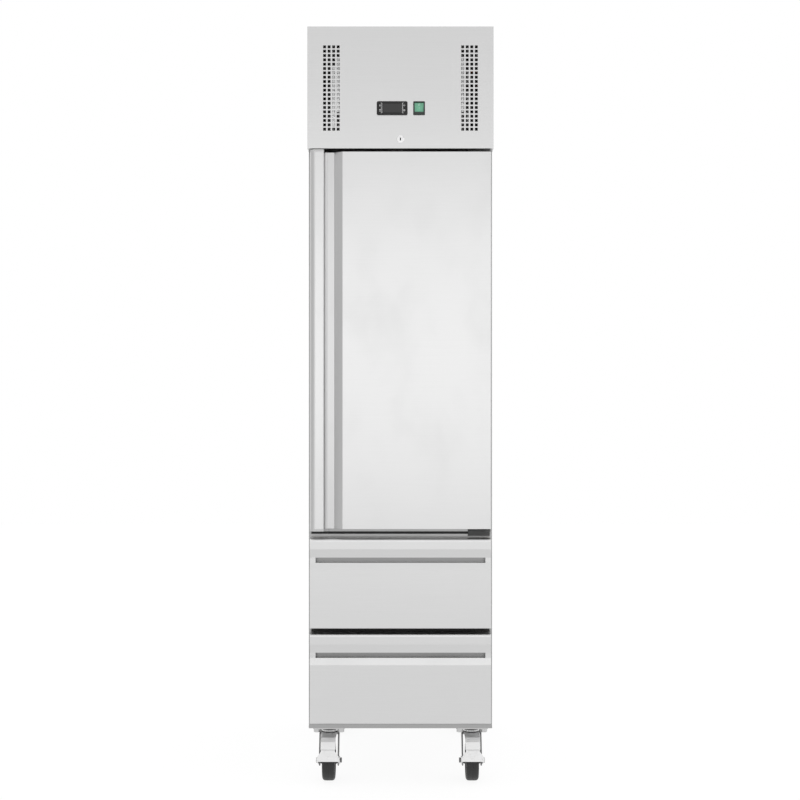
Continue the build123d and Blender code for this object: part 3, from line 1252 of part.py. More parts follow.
def make_door():
    """The door: folded skin, foam core, inner liner, gasket, grip caps and hinge bushes."""
    liner_y = DOOR_BACK_Y - SHEET
    with BuildPart() as door_skin:
        with BuildSketch(Plane.XY.offset(DOOR_Z)):
            add(door_profile(0))
        extrude(amount=DOOR_HEIGHT)
        with BuildSketch(Plane.XY.offset(DOOR_Z + SHEET)):
            add(door_profile(SHEET))
        extrude(amount=DOOR_HEIGHT - 2 * SHEET, mode=Mode.SUBTRACT)
        block(
            mirrored(FRONT_HALF - SHEET),
            (liner_y - SHEET, DOOR_BACK_Y),
            (DOOR_Z + SHEET, DOOR_TOP - SHEET),
            mode=Mode.SUBTRACT,
        )
        bush_holes(JOINT / 3)
        cam_slot()
    door_skin.part.label = "door_skin"
    export_step(door_skin.part, "parts/door_skin.step")

    slab_z = (DOOR_Z + SHEET, DOOR_TOP - SHEET)
    slabs = (
        ((door_x(POCKET_FLOOR) + SHEET, FRONT_HALF), (FRONT_Y, DOOR_BACK_Y)),
        ((door_x(0), door_x(POCKET_FLOOR) + SHEET - JOINT), (FRONT_Y + POCKET_DEPTH, DOOR_BACK_Y)),
        ((door_x(0), door_x(GRIP_WIDTH + POCKET_ROUND)), (FRONT_Y, FRONT_Y + POCKET_DEPTH - JOINT)),
    )
    with BuildPart() as door_insulation:
        for (x_low, x_high), (y_low, y_high) in slabs:
            with BuildSketch(Plane.XY.offset(slab_z[0])):
                add(door_profile(SHEET))
                with Locations(((x_low + x_high) / 2, (y_low + y_high) / 2)):
                    Rectangle(x_high - x_low, y_high - y_low, mode=Mode.INTERSECT)
            extrude(amount=slab_z[1] - slab_z[0])
        bush_holes(JOINT / 3)
        cam_slot()
    door_insulation.part.label = "door_insulation"
    export_step(door_insulation.part, "parts/door_insulation.step")

    dish_half = FRONT_HALF - DISH_INSET
    dish_z = (DOOR_Z + DISH_INSET, DOOR_TOP - DISH_INSET)
    with BuildPart() as door_liner:
        block(
            mirrored(FRONT_HALF - SHEET - JOINT),
            (liner_y, DOOR_BACK_Y),
            (DOOR_Z + SHEET + JOINT, DOOR_TOP - SHEET - JOINT),
        )
        block(mirrored(dish_half), (DOOR_BACK_Y, DOOR_BACK_Y + DISH_RISE), dish_z)
        raised = door_liner.faces().sort_by(Axis.Y)[-1]
        chamfer(raised.edges(), length=DISH_RISE * 0.8, length2=DISH_RISE * 1.6)
        block(
            mirrored(dish_half - 3 * DISH_RISE),
            (liner_y, DOOR_BACK_Y + DISH_RISE - SHEET),
            (dish_z[0] + 3 * DISH_RISE, dish_z[1] - 3 * DISH_RISE),
            mode=Mode.SUBTRACT,
        )
    door_liner.part.label = "door_liner"
    export_step(door_liner.part, "parts/door_liner.step")

    make_gasket("door_gasket", DOOR_Z, DOOR_TOP)

    with BuildPart() as handle_end_caps:
        for low in (DOOR_Z - CAP_HEIGHT, DOOR_TOP):
            with BuildSketch(Plane.XY.offset(low)):
                add(door_profile(0))
                with Locations((door_x(GRIP_WIDTH / 2), FRONT_Y + CAP_DEPTH / 2)):
                    Rectangle(GRIP_WIDTH, CAP_DEPTH, mode=Mode.INTERSECT)
            extrude(amount=CAP_HEIGHT)
    handle_end_caps.part.label = "handle_end_caps"
    export_step(handle_end_caps.part, "parts/handle_end_caps.step")

    with BuildPart() as hinge_bushes:
        for end, direction in ((DOOR_Z, 1), (DOOR_TOP, -1)):
            mouth = Plane(origin=(HINGE_X, HINGE_Y, end), z_dir=(0, 0, direction))
            with BuildSketch(mouth):
                Circle(BUSH_DIAMETER / 2)
            extrude(amount=BUSH_LENGTH - JOINT)
            with BuildSketch(mouth):
                Circle(BUSH_COLLAR / 2)
            extrude(amount=-BUSH_COLLAR_THICK)
            with BuildSketch(mouth.offset(-BUSH_COLLAR_THICK)):
                Circle(PIN_DIAMETER / 2 + RUNNING)
            extrude(amount=BUSH_COLLAR_THICK + BUSH_LENGTH, mode=Mode.SUBTRACT)
    hinge_bushes.part.label = "hinge_bushes"
    export_step(hinge_bushes.part, "parts/hinge_bushes.step")


def make_gasket(name, z_low, z_high):
    """A magnetic gasket welded from four straight strips, just clear of the frame."""
    outer = FRONT_HALF - GASKET_INSET
    inner = outer - GASKET_WIDTH
    depth = (DOOR_BACK_Y, DOOR_BACK_Y + GASKET_THICK - GASKET_CLEAR)
    low = z_low + GASKET_INSET
    high = z_high - GASKET_INSET
    with BuildPart() as gasket:
        for side in (-1, 1):
            block(sorted((side * inner, side * outer)), depth, (low, high))
        for z_range in ((low, low + GASKET_WIDTH), (high - GASKET_WIDTH, high)):
            block(mirrored(inner - JOINT / 3), depth, z_range)
    gasket.part.label = name
    export_step(gasket.part, f"parts/{name}.step")


def make_hinge_brackets():
    """The upper bracket under the head and the lower one on the mullion, each with its pin."""
    upper_z = HEAD_Z - HINGE_PLATE
    lower_z = DOOR_Z - HINGE_SPACE - HINGE_PLATE
    with BuildPart() as hinge_brackets:
        with BuildSketch(Plane.XY.offset(upper_z)):
            with Locations((FRONT_HALF - HINGE_WIDTH / 2, BODY_Y - HINGE_BOSS)):
                Rectangle(HINGE_WIDTH, 2 * HINGE_BOSS)
            with Locations((HINGE_X, HINGE_Y)):
                Circle(min(HINGE_BOSS, HINGE_INSET))
            make_hull()
        extrude(amount=HINGE_PLATE)
        with BuildSketch(Plane.XY.offset(lower_z)):
            with Locations((FRONT_HALF - HINGE_WIDTH / 2, BODY_Y - HINGE_PLATE)):
                Rectangle(HINGE_WIDTH, 2 * HINGE_PLATE)
            with Locations((HINGE_X, HINGE_Y)):
                Circle(min(HINGE_BOSS, HINGE_INSET))
            make_hull()
        extrude(amount=HINGE_PLATE)
        block(
            (FRONT_HALF - HINGE_WIDTH, FRONT_HALF),
            (BODY_Y - HINGE_PLATE, BODY_Y),
            (lower_z - HINGE_FLANGE + HINGE_PLATE, lower_z + HINGE_PLATE),
        )
        for face, direction in ((upper_z, -1), (lower_z + HINGE_PLATE, 1)):
            with BuildSketch(Plane(origin=(HINGE_X, HINGE_Y, face), z_dir=(0, 0, direction))):
                Circle(PIN_DIAMETER / 2)
            extrude(amount=HINGE_SPACE + PIN_LENGTH)
    hinge_brackets.part.label = "hinge_brackets"
    export_step(hinge_brackets.part, "parts/hinge_brackets.step")


# Drawers


def drawer_profile(inset):
    """A drawer front's section, depth against height, with the finger groove under the brow."""
    top = DRAWER_HEIGHT
    with BuildSketch() as profile:
        with BuildLine():
            Polyline(
                (DOOR_BACK_Y, top),
                (FRONT_Y, top),
                (FRONT_Y, top - BROW_DROP),
                (FRONT_Y + BROW_DEPTH, top - BROW_END),
                (FRONT_Y + BROW_DEPTH + BROW_THICK, top - BROW_END),
                (FRONT_Y + BROW_DEPTH + BROW_THICK, top - CAVITY_TOP),
                (FRONT_Y + CAVITY_DEPTH, top - CAVITY_TOP),
                (FRONT_Y + CAVITY_DEPTH, top - CAVITY_END),
                (FRONT_Y + BROW_DEPTH, top - CAVITY_END),
                (FRONT_Y, top - GROOVE_END),
                (FRONT_Y, 0),
                (DOOR_BACK_Y, 0),
                close=True,
            )
        make_face()
        round_corners(
            (
                (FRONT_Y, top, DRAWER_EDGE_ROUND),
                (FRONT_Y, 0, FRONT_EDGE_ROUND),
            )
        )
        if inset > 0:
            offset(amount=-inset, kind=Kind.INTERSECTION, mode=Mode.REPLACE)
    return profile.sketch


def make_drawer_front(name, base):
    """One drawer front: a folded skin with a finger slot that is closed at its ends."""
    skin_plane = Plane(origin=(-FRONT_HALF, 0, base), x_dir=(0, 1, 0), z_dir=(1, 0, 0))
    core_plane = Plane(origin=(-FRONT_HALF + SHEET, 0, base), x_dir=(0, 1, 0), z_dir=(1, 0, 0))
    top = base + DRAWER_HEIGHT
    core_length = 2 * (FRONT_HALF - SHEET)
    with BuildPart() as skin:
        with BuildSketch(skin_plane):
            add(drawer_profile(0))
        extrude(amount=2 * FRONT_HALF)
        with BuildSketch(core_plane):
            add(drawer_profile(SHEET))
        extrude(amount=core_length, mode=Mode.SUBTRACT)
        block(
            mirrored(FRONT_HALF - SHEET),
            (DOOR_BACK_Y - 2 * SHEET, DOOR_BACK_Y),
            (base + SHEET, top - SHEET),
            mode=Mode.SUBTRACT,
        )
        cavity_x = FRONT_HALF - BLOCK_LENGTH
        cavity_back = FRONT_Y + CAVITY_DEPTH
        brow_back = FRONT_Y + BROW_DEPTH + BROW_THICK
        for x_range in ((-FRONT_HALF, -cavity_x), (cavity_x, FRONT_HALF)):
            block(x_range, (FRONT_Y + BROW_DEPTH, cavity_back), (top - CAVITY_END, top - BROW_END))
            block(x_range, (brow_back, cavity_back), (top - BROW_END, top - CAVITY_TOP))
    skin.part.label = f"{name}_drawer_front"
    export_step(skin.part, f"parts/{name}_drawer_front.step")


def make_drawer_core(name, base):
    """Foam behind a drawer's skin, in four slabs round the groove, and the inner panel."""
    core_plane = Plane(
        origin=(-FRONT_HALF + SHEET + JOINT, 0, base), x_dir=(0, 1, 0), z_dir=(1, 0, 0)
    )
    top = DRAWER_HEIGHT
    core_length = 2 * (FRONT_HALF - SHEET - JOINT)
    foam_back = DOOR_BACK_Y - SHEET - JOINT
    cavity_front = FRONT_Y + BROW_DEPTH + BROW_THICK
    cavity_back = FRONT_Y + CAVITY_DEPTH
    slabs = (
        ((FRONT_Y, foam_back), (0, top - CAVITY_END)),
        ((cavity_back, foam_back), (top - CAVITY_END + JOINT, top)),
        ((FRONT_Y, cavity_back - JOINT), (top - CAVITY_TOP, top)),
        ((FRONT_Y, cavity_front), (top - BROW_END, top - CAVITY_TOP - JOINT)),
    )
    with BuildPart() as core:
        for (y_low, y_high), (z_low, z_high) in slabs:
            with BuildSketch(core_plane):
                add(drawer_profile(SHEET))
                with Locations(((y_low + y_high) / 2, (z_low + z_high) / 2)):
                    Rectangle(y_high - y_low, z_high - z_low, mode=Mode.INTERSECT)
            extrude(amount=core_length)
        block(
            mirrored(FRONT_HALF - SHEET - JOINT),
            (DOOR_BACK_Y - SHEET, DOOR_BACK_Y),
            (base + SHEET + JOINT, base + DRAWER_HEIGHT - SHEET - JOINT),
        )
    core.part.label = f"{name}_drawer_core"
    export_step(core.part, f"parts/{name}_drawer_core.step")


def slide_member(web_x, tip_x, height, z_middle):
    """One channel of a slide: an upright web and two flanges reaching to the tip."""
    sheet = SLIDE_SHEET
    side = 1 if web_x > 0 else -1
    inward = 1 if abs(tip_x) > abs(web_x) else -1
    length = (BODY_Y + SLIDE_SETBACK, BODY_Y + SLIDE_SETBACK + SLIDE_LENGTH)
    web = sorted((web_x, web_x + side * inward * sheet))
    flange = sorted((web_x, tip_x))
    low = z_middle - height / 2
    high = z_middle + height / 2
    block(web, length, (low, high))
    block(flange, length, (low, low + sheet))
    block(flange, length, (high - sheet, high))


def make_drawer_bin(name):
    """The open bin that hangs behind a drawer front, with the slides' inner members."""
    floor = BIN_FLOORS[name]
    outer_half = INNER_HALF - SLIDE_DEPTH - JOINT
    depth = (DOOR_BACK_Y + JOINT, DOOR_BACK_Y + JOINT + BIN_LENGTH)
    inner_height = SLIDE_HEIGHT - 4 * (SLIDE_SHEET + SLIDE_GAP)
    with BuildPart() as drawer_bin:
        block(mirrored(outer_half), depth, (floor, floor + BIN_HEIGHT))
        rounded = drawer_bin.edges().filter_by(Axis.Y).group_by(Axis.Z)[0]
        fillet(rounded, radius=BIN_ROUND)
        offset(amount=-BIN_SHEET, openings=drawer_bin.faces().sort_by(Axis.Z)[-1])
        for side in (-1, 1):
            web = side * (INNER_HALF - SLIDE_DEPTH)
            tip = side * (INNER_HALF - 2 * (SLIDE_SHEET + SLIDE_GAP))
            slide_member(web, tip, inner_height, floor + BIN_HEIGHT / 2)
    drawer_bin.part.label = f"{name}_drawer_bin"
    export_step(drawer_bin.part, f"parts/{name}_drawer_bin.step")


def make_drawer_slides():
    """The outer slide members on the cabinet walls, and each drawer's middle members."""
    with BuildPart() as outer_slides:
        for floor in BIN_FLOORS.values():
            for side in (-1, 1):
                web = side * (INNER_HALF - JOINT / 3)
                tip = side * (INNER_HALF - SLIDE_DEPTH + 2 * SLIDE_RIB)
                slide_member(web, tip, SLIDE_HEIGHT, floor + BIN_HEIGHT / 2)
    outer_slides.part.label = "outer_slides"
    export_step(outer_slides.part, "parts/outer_slides.step")

    middle_height = SLIDE_HEIGHT - 2 * (SLIDE_SHEET + SLIDE_GAP)
    for name, floor in BIN_FLOORS.items():
        with BuildPart() as middle_slides:
            for side in (-1, 1):
                web = side * (INNER_HALF - SLIDE_SHEET - SLIDE_GAP)
                tip = side * (INNER_HALF - SLIDE_DEPTH + SLIDE_RIB)
                slide_member(web, tip, middle_height, floor + BIN_HEIGHT / 2)
        middle_slides.part.label = f"{name}_middle_slides"
        export_step(middle_slides.part, f"parts/{name}_middle_slides.step")


# Castors


def make_castor_plates():
    """The castors' top plates with their upper races, and the bolts up into the base pan."""
    race_bottom = FORK_Z + RACE_THICK + RACE_GAP
    with BuildPart() as castor_plates:
        for x, y, _ in CASTORS.values():
            with BuildSketch(Plane.XY.offset(CASTOR_PLATE_Z)):
                with Locations((x, y)):
                    RectangleRounded(CASTOR_PLATE_X, CASTOR_PLATE_Y, CASTOR_PLATE_ROUND)
            extrude(amount=CASTOR_PLATE)
            with BuildSketch(Plane.XY.offset(race_bottom)):
                with Locations((x, y)):
                    Circle(RACE_DIAMETER / 2 - 2 * RACE_GAP)
            extrude(amount=CASTOR_PLATE_Z - race_bottom, taper=RACE_TAPER)
            with Locations((x, y, CASTOR_HEIGHT)):
                Hole(radius=KINGPIN / 2 + RUNNING, depth=CASTOR_HEIGHT - race_bottom)
                with GridLocations(BOLT_SPACING_X, BOLT_SPACING_Y, 2, 2):
                    Hole(radius=BOLT_DIAMETER / 2 + BOLT_CLEAR, depth=CASTOR_PLATE)
        for x, y, _ in CASTORS.values():
            head = Plane(origin=(x, y, CASTOR_PLATE_Z - BOLT_CLEAR / 2))
            with BuildSketch(head):
                with GridLocations(BOLT_SPACING_X, BOLT_SPACING_Y, 2, 2):
                    RegularPolygon(BOLT_HEAD / 2, 6)
            extrude(amount=-BOLT_HEAD_THICK)
            with BuildSketch(head):
                with GridLocations(BOLT_SPACING_X, BOLT_SPACING_Y, 2, 2):
                    Circle(BOLT_DIAMETER / 2)
            extrude(amount=CASTOR_PLATE + BASE_FOLD)
    castor_plates.part.label = "castor_plates"
    export_step(castor_plates.part, "parts/castor_plates.step")


def axle_of(castor):
    """The middle of a castor's wheel."""
    x, y, trail_side = CASTORS[castor]
    return (x, y + trail_side * TRAIL, WHEEL_RADIUS)


def hood_section(axle):
    """The section of a wheel hood: flat from the fork's crown, then folded down twice."""
    y = axle[1]
    under = (
        (y + HOOD_OVERLAP, FORK_Z - HOOD_SHEET),
        (y - HOOD_REACH, FORK_Z - HOOD_SHEET),
        (y - HOOD_FOLD_REACH, FORK_Z - HOOD_FOLD_DROP - HOOD_SHEET),
        (y - HOOD_LIP_REACH, FORK_Z - HOOD_LIP_DROP),
    )
    over = (
        (y - HOOD_LIP_REACH - HOOD_SHEET, FORK_Z - HOOD_LIP_DROP),
        (y - HOOD_FOLD_REACH - HOOD_SHEET, FORK_Z - HOOD_FOLD_DROP),
        (y - HOOD_REACH - HOOD_SHEET / 2, FORK_Z),
        (y + HOOD_OVERLAP, FORK_Z),
    )
    with BuildSketch() as section:
        Polygon(*under, *over, align=None)
    return section.sketch


def make_fork(name):
    """A castor's fork with its lower race and kingpin, the axle bolt, and the wheel hood."""
    x, y, _ = CASTORS[name]
    axle = axle_of(name)
    braked = name.startswith("front")
    outer_half = FORK_INSIDE / 2 + FORK_SHEET
    head_x = outer_half + (PEDAL_ARM + 2 * PEDAL_PLAY if braked else 2 * RUNNING)
    with BuildPart() as fork:
        block(
            (x - outer_half, x + outer_half),
            (y - FORK_LENGTH / 2, y + FORK_LENGTH / 2),
            (FORK_Z - FORK_SHEET, FORK_Z),
        )
        with BuildSketch(Plane.YZ.offset(x - outer_half)):
            with Locations((y, FORK_Z - FORK_SHEET / 2)):
                Rectangle(FORK_LENGTH, FORK_SHEET)
            with Locations((axle[1], axle[2])):
                Circle(FORK_BOSS)
            make_hull()
        extrude(amount=2 * outer_half)
        with BuildSketch(Plane.YZ.offset(x - FORK_INSIDE / 2)):
            with Locations((y, FORK_Z - FORK_SHEET - FORK_Z / 2)):
                Rectangle(2 * WHEEL_DIAMETER, FORK_Z)
        extrude(amount=FORK_INSIDE, mode=Mode.SUBTRACT)
        with BuildSketch(Plane.YZ.offset(x - outer_half)):
            with Locations((axle[1], axle[2])):
                Circle(AXLE_DIAMETER / 2 + 2 * RUNNING)
        extrude(amount=2 * outer_half, mode=Mode.SUBTRACT)
        with BuildSketch(Plane.XY.offset(FORK_Z)):
            with Locations((x, y)):
                Circle(RACE_DIAMETER / 2)
        extrude(amount=RACE_THICK)
        with BuildSketch(Plane.XY.offset(FORK_Z)):
            with Locations((x, y)):
                Circle(KINGPIN / 2)
        extrude(amount=CASTOR_HEIGHT - FORK_Z - RACE_GAP)
        if braked:
            with BuildSketch(Plane.YZ.offset(x - HOOD_HALF)):
                add(hood_section(axle))
            extrude(amount=2 * HOOD_HALF)
        with BuildSketch(Plane.YZ.offset(x - head_x)):
            with Locations((axle[1], axle[2])):
                Circle(AXLE_DIAMETER / 2)
        extrude(amount=2 * head_x)
        for side in (-1, 1):
            plane = Plane(
                origin=(x + side * head_x, axle[1], axle[2]), x_dir=(0, 1, 0), z_dir=(side, 0, 0)
            )
            with BuildSketch(plane):
                RegularPolygon(AXLE_HEAD / 2, 6)
            extrude(amount=AXLE_HEAD_THICK)
    fork.part.label = f"castor_fork_{name}"
    export_step(fork.part, f"parts/castor_fork_{name}.step")


def make_wheel(name):
    """A castor wheel: a crowned tyre on a hub with a rim, a web and a long boss."""
    x, y, z = axle_of(name)
    section = Plane(origin=(x, y, z), x_dir=(1, 0, 0), z_dir=(0, -1, 0))
    spin = Axis((x, y, z), (1, 0, 0))
    tyre_inside = WHEEL_RADIUS - TYRE_DEPTH
    rim_outside = tyre_inside - JOINT / 2
    rim_inside = rim_outside - HUB_RIM
    boss_half = FORK_INSIDE / 2 - HUB_PLAY
    bore = AXLE_DIAMETER / 2 + RUNNING
    with BuildPart() as wheel:
        with BuildSketch(section):
            with Locations((0, tyre_inside + TYRE_DEPTH / 2)):
                Rectangle(WHEEL_WIDTH, TYRE_DEPTH)
            round_corners(
                (
                    (-WHEEL_WIDTH / 2, WHEEL_RADIUS, TYRE_ROUND),
                    (WHEEL_WIDTH / 2, WHEEL_RADIUS, TYRE_ROUND),
                )
            )
        revolve(axis=spin)
        with BuildSketch(section):
            with Locations((0, rim_inside + HUB_RIM / 2)):
                Rectangle(WHEEL_WIDTH - 2 * HUB_RIM, HUB_RIM)
            with Locations((0, (bore + rim_outside) / 2)):
                Rectangle(HUB_WEB, rim_outside - bore)
            with Locations((0, (bore + HUB_BOSS / 2) / 2)):
                Rectangle(2 * boss_half, HUB_BOSS / 2 - bore)
        revolve(axis=spin)
    wheel.part.label = f"castor_wheel_{name}"
    export_step(wheel.part, f"parts/castor_wheel_{name}.step")


def make_brake_pedal(name):
    """A brake pedal: a flared plate in front of the wheel, on two arms to the axle."""
    axle = axle_of(name)
    x, y, z = axle
    arm_in = FORK_INSIDE / 2 + FORK_SHEET + PEDAL_PLAY
    top_z = FORK_Z - HOOD_LIP_DROP - PEDAL_GAP
    low_z = z + PEDAL_TIP_RISE
    flare_z = low_z + PEDAL_FLARE
    waist_z = low_z + PEDAL_WAIST
    section = (
        (y - HOOD_LIP_REACH, top_z),
        (y - PEDAL_TIP_REACH, low_z),
        (y - PEDAL_TIP_REACH + PEDAL_SHEET, low_z),
        (y - HOOD_LIP_REACH + PEDAL_SHEET, top_z),
    )
    with BuildPart() as pedal:
        with BuildSketch(Plane.YZ.offset(x - PEDAL_HALF_BOTTOM)):
            Polygon(*section, align=None)
        extrude(amount=2 * PEDAL_HALF_BOTTOM)
        with BuildSketch(Plane.XZ.offset(-y)):
            with BuildLine():
                Polyline(
                    (x - PEDAL_HALF_BOTTOM, low_z),
                    (x - PEDAL_HALF_BOTTOM, flare_z),
                    (x - PEDAL_HALF_TOP, waist_z),
                    (x - PEDAL_HALF_TOP, top_z),
                    (x + PEDAL_HALF_TOP, top_z),
                    (x + PEDAL_HALF_TOP, waist_z),
                    (x + PEDAL_HALF_BOTTOM, flare_z),
                    (x + PEDAL_HALF_BOTTOM, low_z),
                    close=True,
                )
            make_face()
        extrude(amount=PEDAL_TIP_REACH, mode=Mode.INTERSECT)
        arm_end = (y - PEDAL_TIP_REACH + PEDAL_TIP_ROUND, low_z + PEDAL_TIP_ROUND)
        for low in (x - arm_in - PEDAL_ARM, x + arm_in):
            with BuildSketch(Plane.YZ.offset(low)):
                with Locations((y, z)):
                    Circle(PEDAL_BOSS)
                with Locations(arm_end):
                    Circle(PEDAL_TIP_ROUND)
                make_hull()
                with Locations((y, z)):
                    Circle(AXLE_DIAMETER / 2 + RUNNING, mode=Mode.SUBTRACT)
            extrude(amount=PEDAL_ARM)
    pedal.part.label = f"brake_pedal_{name}"
    export_step(pedal.part, f"parts/brake_pedal_{name}.step")


make_outer_panels()
make_back_panel()
make_front_frame()
make_cabinet_insulation()
make_inner_liner()
make_shelf_supports()
make_wire_shelves()
make_evaporator()
make_unit_plate()
make_machine_cover()
make_condenser()
make_compressor()
make_refrigerant_pipes()
make_electrical_box()
make_head_fascia()
make_controller()
make_switch()
make_lock()
make_door()
make_hinge_brackets()
for drawer, drawer_z in DRAWERS.items():
    make_drawer_front(drawer, drawer_z)
    make_drawer_core(drawer, drawer_z)
    make_gasket(f"{drawer}_drawer_gasket", drawer_z, drawer_z + DRAWER_HEIGHT)
    make_drawer_bin(drawer)
make_drawer_slides()
make_castor_plates()
for castor in CASTORS:
    make_fork(castor)
    make_wheel(castor)
for castor in ("front_left", "front_right"):
    make_brake_pedal(castor)
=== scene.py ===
import json
from math import pi, radians

import bmesh
import bpy
from bpy.props import FloatProperty, FloatVectorProperty, IntProperty, PointerProperty
from mathutils import Matrix, Vector


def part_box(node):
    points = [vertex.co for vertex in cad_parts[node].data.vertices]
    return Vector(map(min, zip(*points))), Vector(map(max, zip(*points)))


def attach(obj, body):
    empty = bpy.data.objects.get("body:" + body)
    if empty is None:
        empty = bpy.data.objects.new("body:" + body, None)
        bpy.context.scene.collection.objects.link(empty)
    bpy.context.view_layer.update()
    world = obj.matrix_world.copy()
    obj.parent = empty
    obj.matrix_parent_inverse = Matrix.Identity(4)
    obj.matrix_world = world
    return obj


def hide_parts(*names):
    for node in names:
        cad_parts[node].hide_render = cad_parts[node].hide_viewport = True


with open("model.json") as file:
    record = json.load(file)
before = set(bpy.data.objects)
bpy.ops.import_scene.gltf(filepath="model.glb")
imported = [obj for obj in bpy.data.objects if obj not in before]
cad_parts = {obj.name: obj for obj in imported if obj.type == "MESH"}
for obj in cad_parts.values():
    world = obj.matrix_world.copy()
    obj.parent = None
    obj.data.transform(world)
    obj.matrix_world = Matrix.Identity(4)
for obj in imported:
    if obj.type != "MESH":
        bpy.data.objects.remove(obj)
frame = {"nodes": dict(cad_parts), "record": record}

bl_info = {
    "name": "Freezer cabinet",
    "version": (1, 0, 0),
    "blender": (4, 5, 0),
    "location": "View3D > Sidebar > Freezer",
    "description": "Finishes and fine pieces of an upright catering freezer on castors",
    "category": "Object",
}

NODES = frame["nodes"]
BODIES = frame["record"]["behaviour"]["bodies"]
BODY_OF = {node: body for body, nodes in BODIES.items() for node in nodes}
CASTORS = ("front_left", "front_right", "rear_left", "rear_right")
BLACK = (0.0, 0.0, 0.0, 1.0)
WHITE = (1.0, 1.0, 1.0, 1.0)

# Thickness of a printed symbol, and half the blur at the edge of a shaded place
PRINT = 0.0002
SOFT = 0.0006


def middle(node):
    """The middle of a node's box."""
    low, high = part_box(node)
    return (low + high) / 2


def grey(level):
    """A neutral colour from its level on screen, 0 to 255."""
    return tint(level, level, level)


def tint(red, green, blue):
    """A colour from its screen levels, 0 to 255, as light."""
    return tuple(((value / 255 + 0.055) / 1.055) ** 2.4 for value in (red, green, blue)) + (1.0,)


def scaled(colour, share):
    """A colour made darker or lighter."""
    return tuple(min(1.0, value * share) for value in colour[:3]) + (1.0,)


# Settings


def paint(name, description, default):
    return FloatVectorProperty(
        name=name, description=description, subtype="COLOR", size=4, min=0.0, max=1.0, default=default
    )


def length(name, description, default):
    return FloatProperty(
        name=name, description=description, unit="LENGTH", subtype="DISTANCE", min=0.0, default=default
    )


def amount(name, description, default):
    return FloatProperty(name=name, description=description, min=0.0, default=default)


class FreezerFinish(bpy.types.PropertyGroup):
    steel: paint("Steel", "Satin stainless sheet of the door, drawers and head", grey(206))
    side_steel: paint("Side steel", "Satin sheet of the side panels", grey(204))
    zinc: paint("Zinc", "Galvanised sheet of the back and the deck", grey(188))
    bright_zinc: paint("Bright zinc", "Plating of the slides, bolts and screws", grey(214))
    frame_dark: paint("Frame", "Dark plastic frame behind the seals", grey(34))
    mullion: paint("Mullion", "Steel strip between the door and the drawers", grey(168))
    frame_steel: paint("Frame steel", "Steel strips at the frame's sides and foot", grey(160))
    seal: paint("Seal", "Soft seal of the door and drawers", grey(40))
    liner: paint("Liner", "White plastic inside the door", grey(232))
    foam: paint("Foam", "Rigid foam in the walls", tint(232, 216, 168))
    tyre: paint("Tyre", "Black tread of the castors", grey(34))
    # Painted light and shade: the hoods and pedals are plated paler than the other zinc, as lit, and the
    # legs darker, as shaded
    pedal: paint("Pedal", "Plating of the castor hoods and pedals", grey(244))
    fork: paint("Fork", "Shaded plating of the castor legs", grey(112))
    hub: paint("Hub", "Plastic hub of the castors", grey(96))
    case: paint("Controller", "Controller bezel", grey(34))
    window: paint("Window", "Display window", grey(44))
    print_white: paint("Print", "White symbols on the controls", grey(226))
    rocker: paint("Rocker", "Lit green lens of the switch", tint(104, 176, 142))
    # Painted shade: the pressed-in lower end of the rocker is given this dark colour
    rocker_dark: paint("Rocker shade", "Unlit lower end of the rocker", tint(16, 38, 30))
    copper: paint("Copper", "Refrigerant pipes", tint(196, 122, 84))
    shell: paint("Shell", "Black paint of the compressor", grey(34))


class FreezerSizes(bpy.types.PropertyGroup):
    seal_width: length("Seal width", "Width of the seal's flat base", 0.014)
    seal_depth: length("Seal depth", "Depth of the seal over its bellows", 0.0118)
    screw_head: length("Screw head", "Diameter of the pan-head screws", 0.008)
    fin_pitch: length("Fin pitch", "Distance between the condenser's fins", 0.0025)
    spokes: IntProperty(name="Spokes", description="Ribs on each face of a castor hub", min=3, default=8)


class FreezerStage(bpy.types.PropertyGroup):
    distance: length("Distance", "From the camera to the door's plane", 3.5)
    height: length("Height", "Height of the camera", 0.9577)
    lens: FloatProperty(name="Lens", description="Focal length in millimetres", min=10.0, default=63.79)
    floor: length("Floor", "Side of the floor", 14.0)
    world: amount("World", "Strength of the white surroundings", 0.72)
    floor_glow: amount("Floor glow", "Own light of the floor", 1.06)
    card_glow: amount("Card glow", "Light of the side card", 0.72)
    front_power: amount("Front lamp", "Power in watts", 10.3)
    right_power: amount("Right lamp", "Power in watts", 9.0)
    top_power: amount("Top lamp", "Power in watts", 16.0)


# Shader recipes


class Wire:
    """A shader socket. Sums written with it become Math nodes."""

    def __init__(self, tree, socket):
        self.tree = tree
        self.socket = socket

    def maths(self, operation, first, second):
        return self.tree.node("ShaderNodeMath", {"operation": operation}, {0: first, 1: second})

    def __add__(self, other):
        return self.maths("ADD", self, other)

    __radd__ = __add__

    def __sub__(self, other):
        return self.maths("SUBTRACT", self, other)

    def __rsub__(self, other):
        return self.maths("SUBTRACT", other, self)

    def __mul__(self, other):
        return self.maths("MULTIPLY", self, other)

    __rmul__ = __mul__

    def __pow__(self, other):
        return self.maths("POWER", self, other)

    def most(self, other):
        return self.maths("MAXIMUM", self, other)

    def step(self, low, high):
        """0 below low, 1 above high and smooth between them."""
        return self.tree.node(
            "ShaderNodeMapRange",
            {"interpolation_type": "SMOOTHSTEP"},
            {"Value": self, "From Min": low, "From Max": high},
        )

    def above(self, edge, soft=SOFT):
        """1 above an edge and 0 below it."""
        return self.step(edge - soft, edge + soft)

    def band(self, low, high):
        """1 between low and high and 0 outside."""
        return self.above(low) * (1.0 - self.above(high))

    def beyond(self, edge, soft=SOFT):
        """1 farther from zero than an edge, on either side, and 0 nearer."""
        return (self * self).step((edge - soft) ** 2, (edge + soft) ** 2)


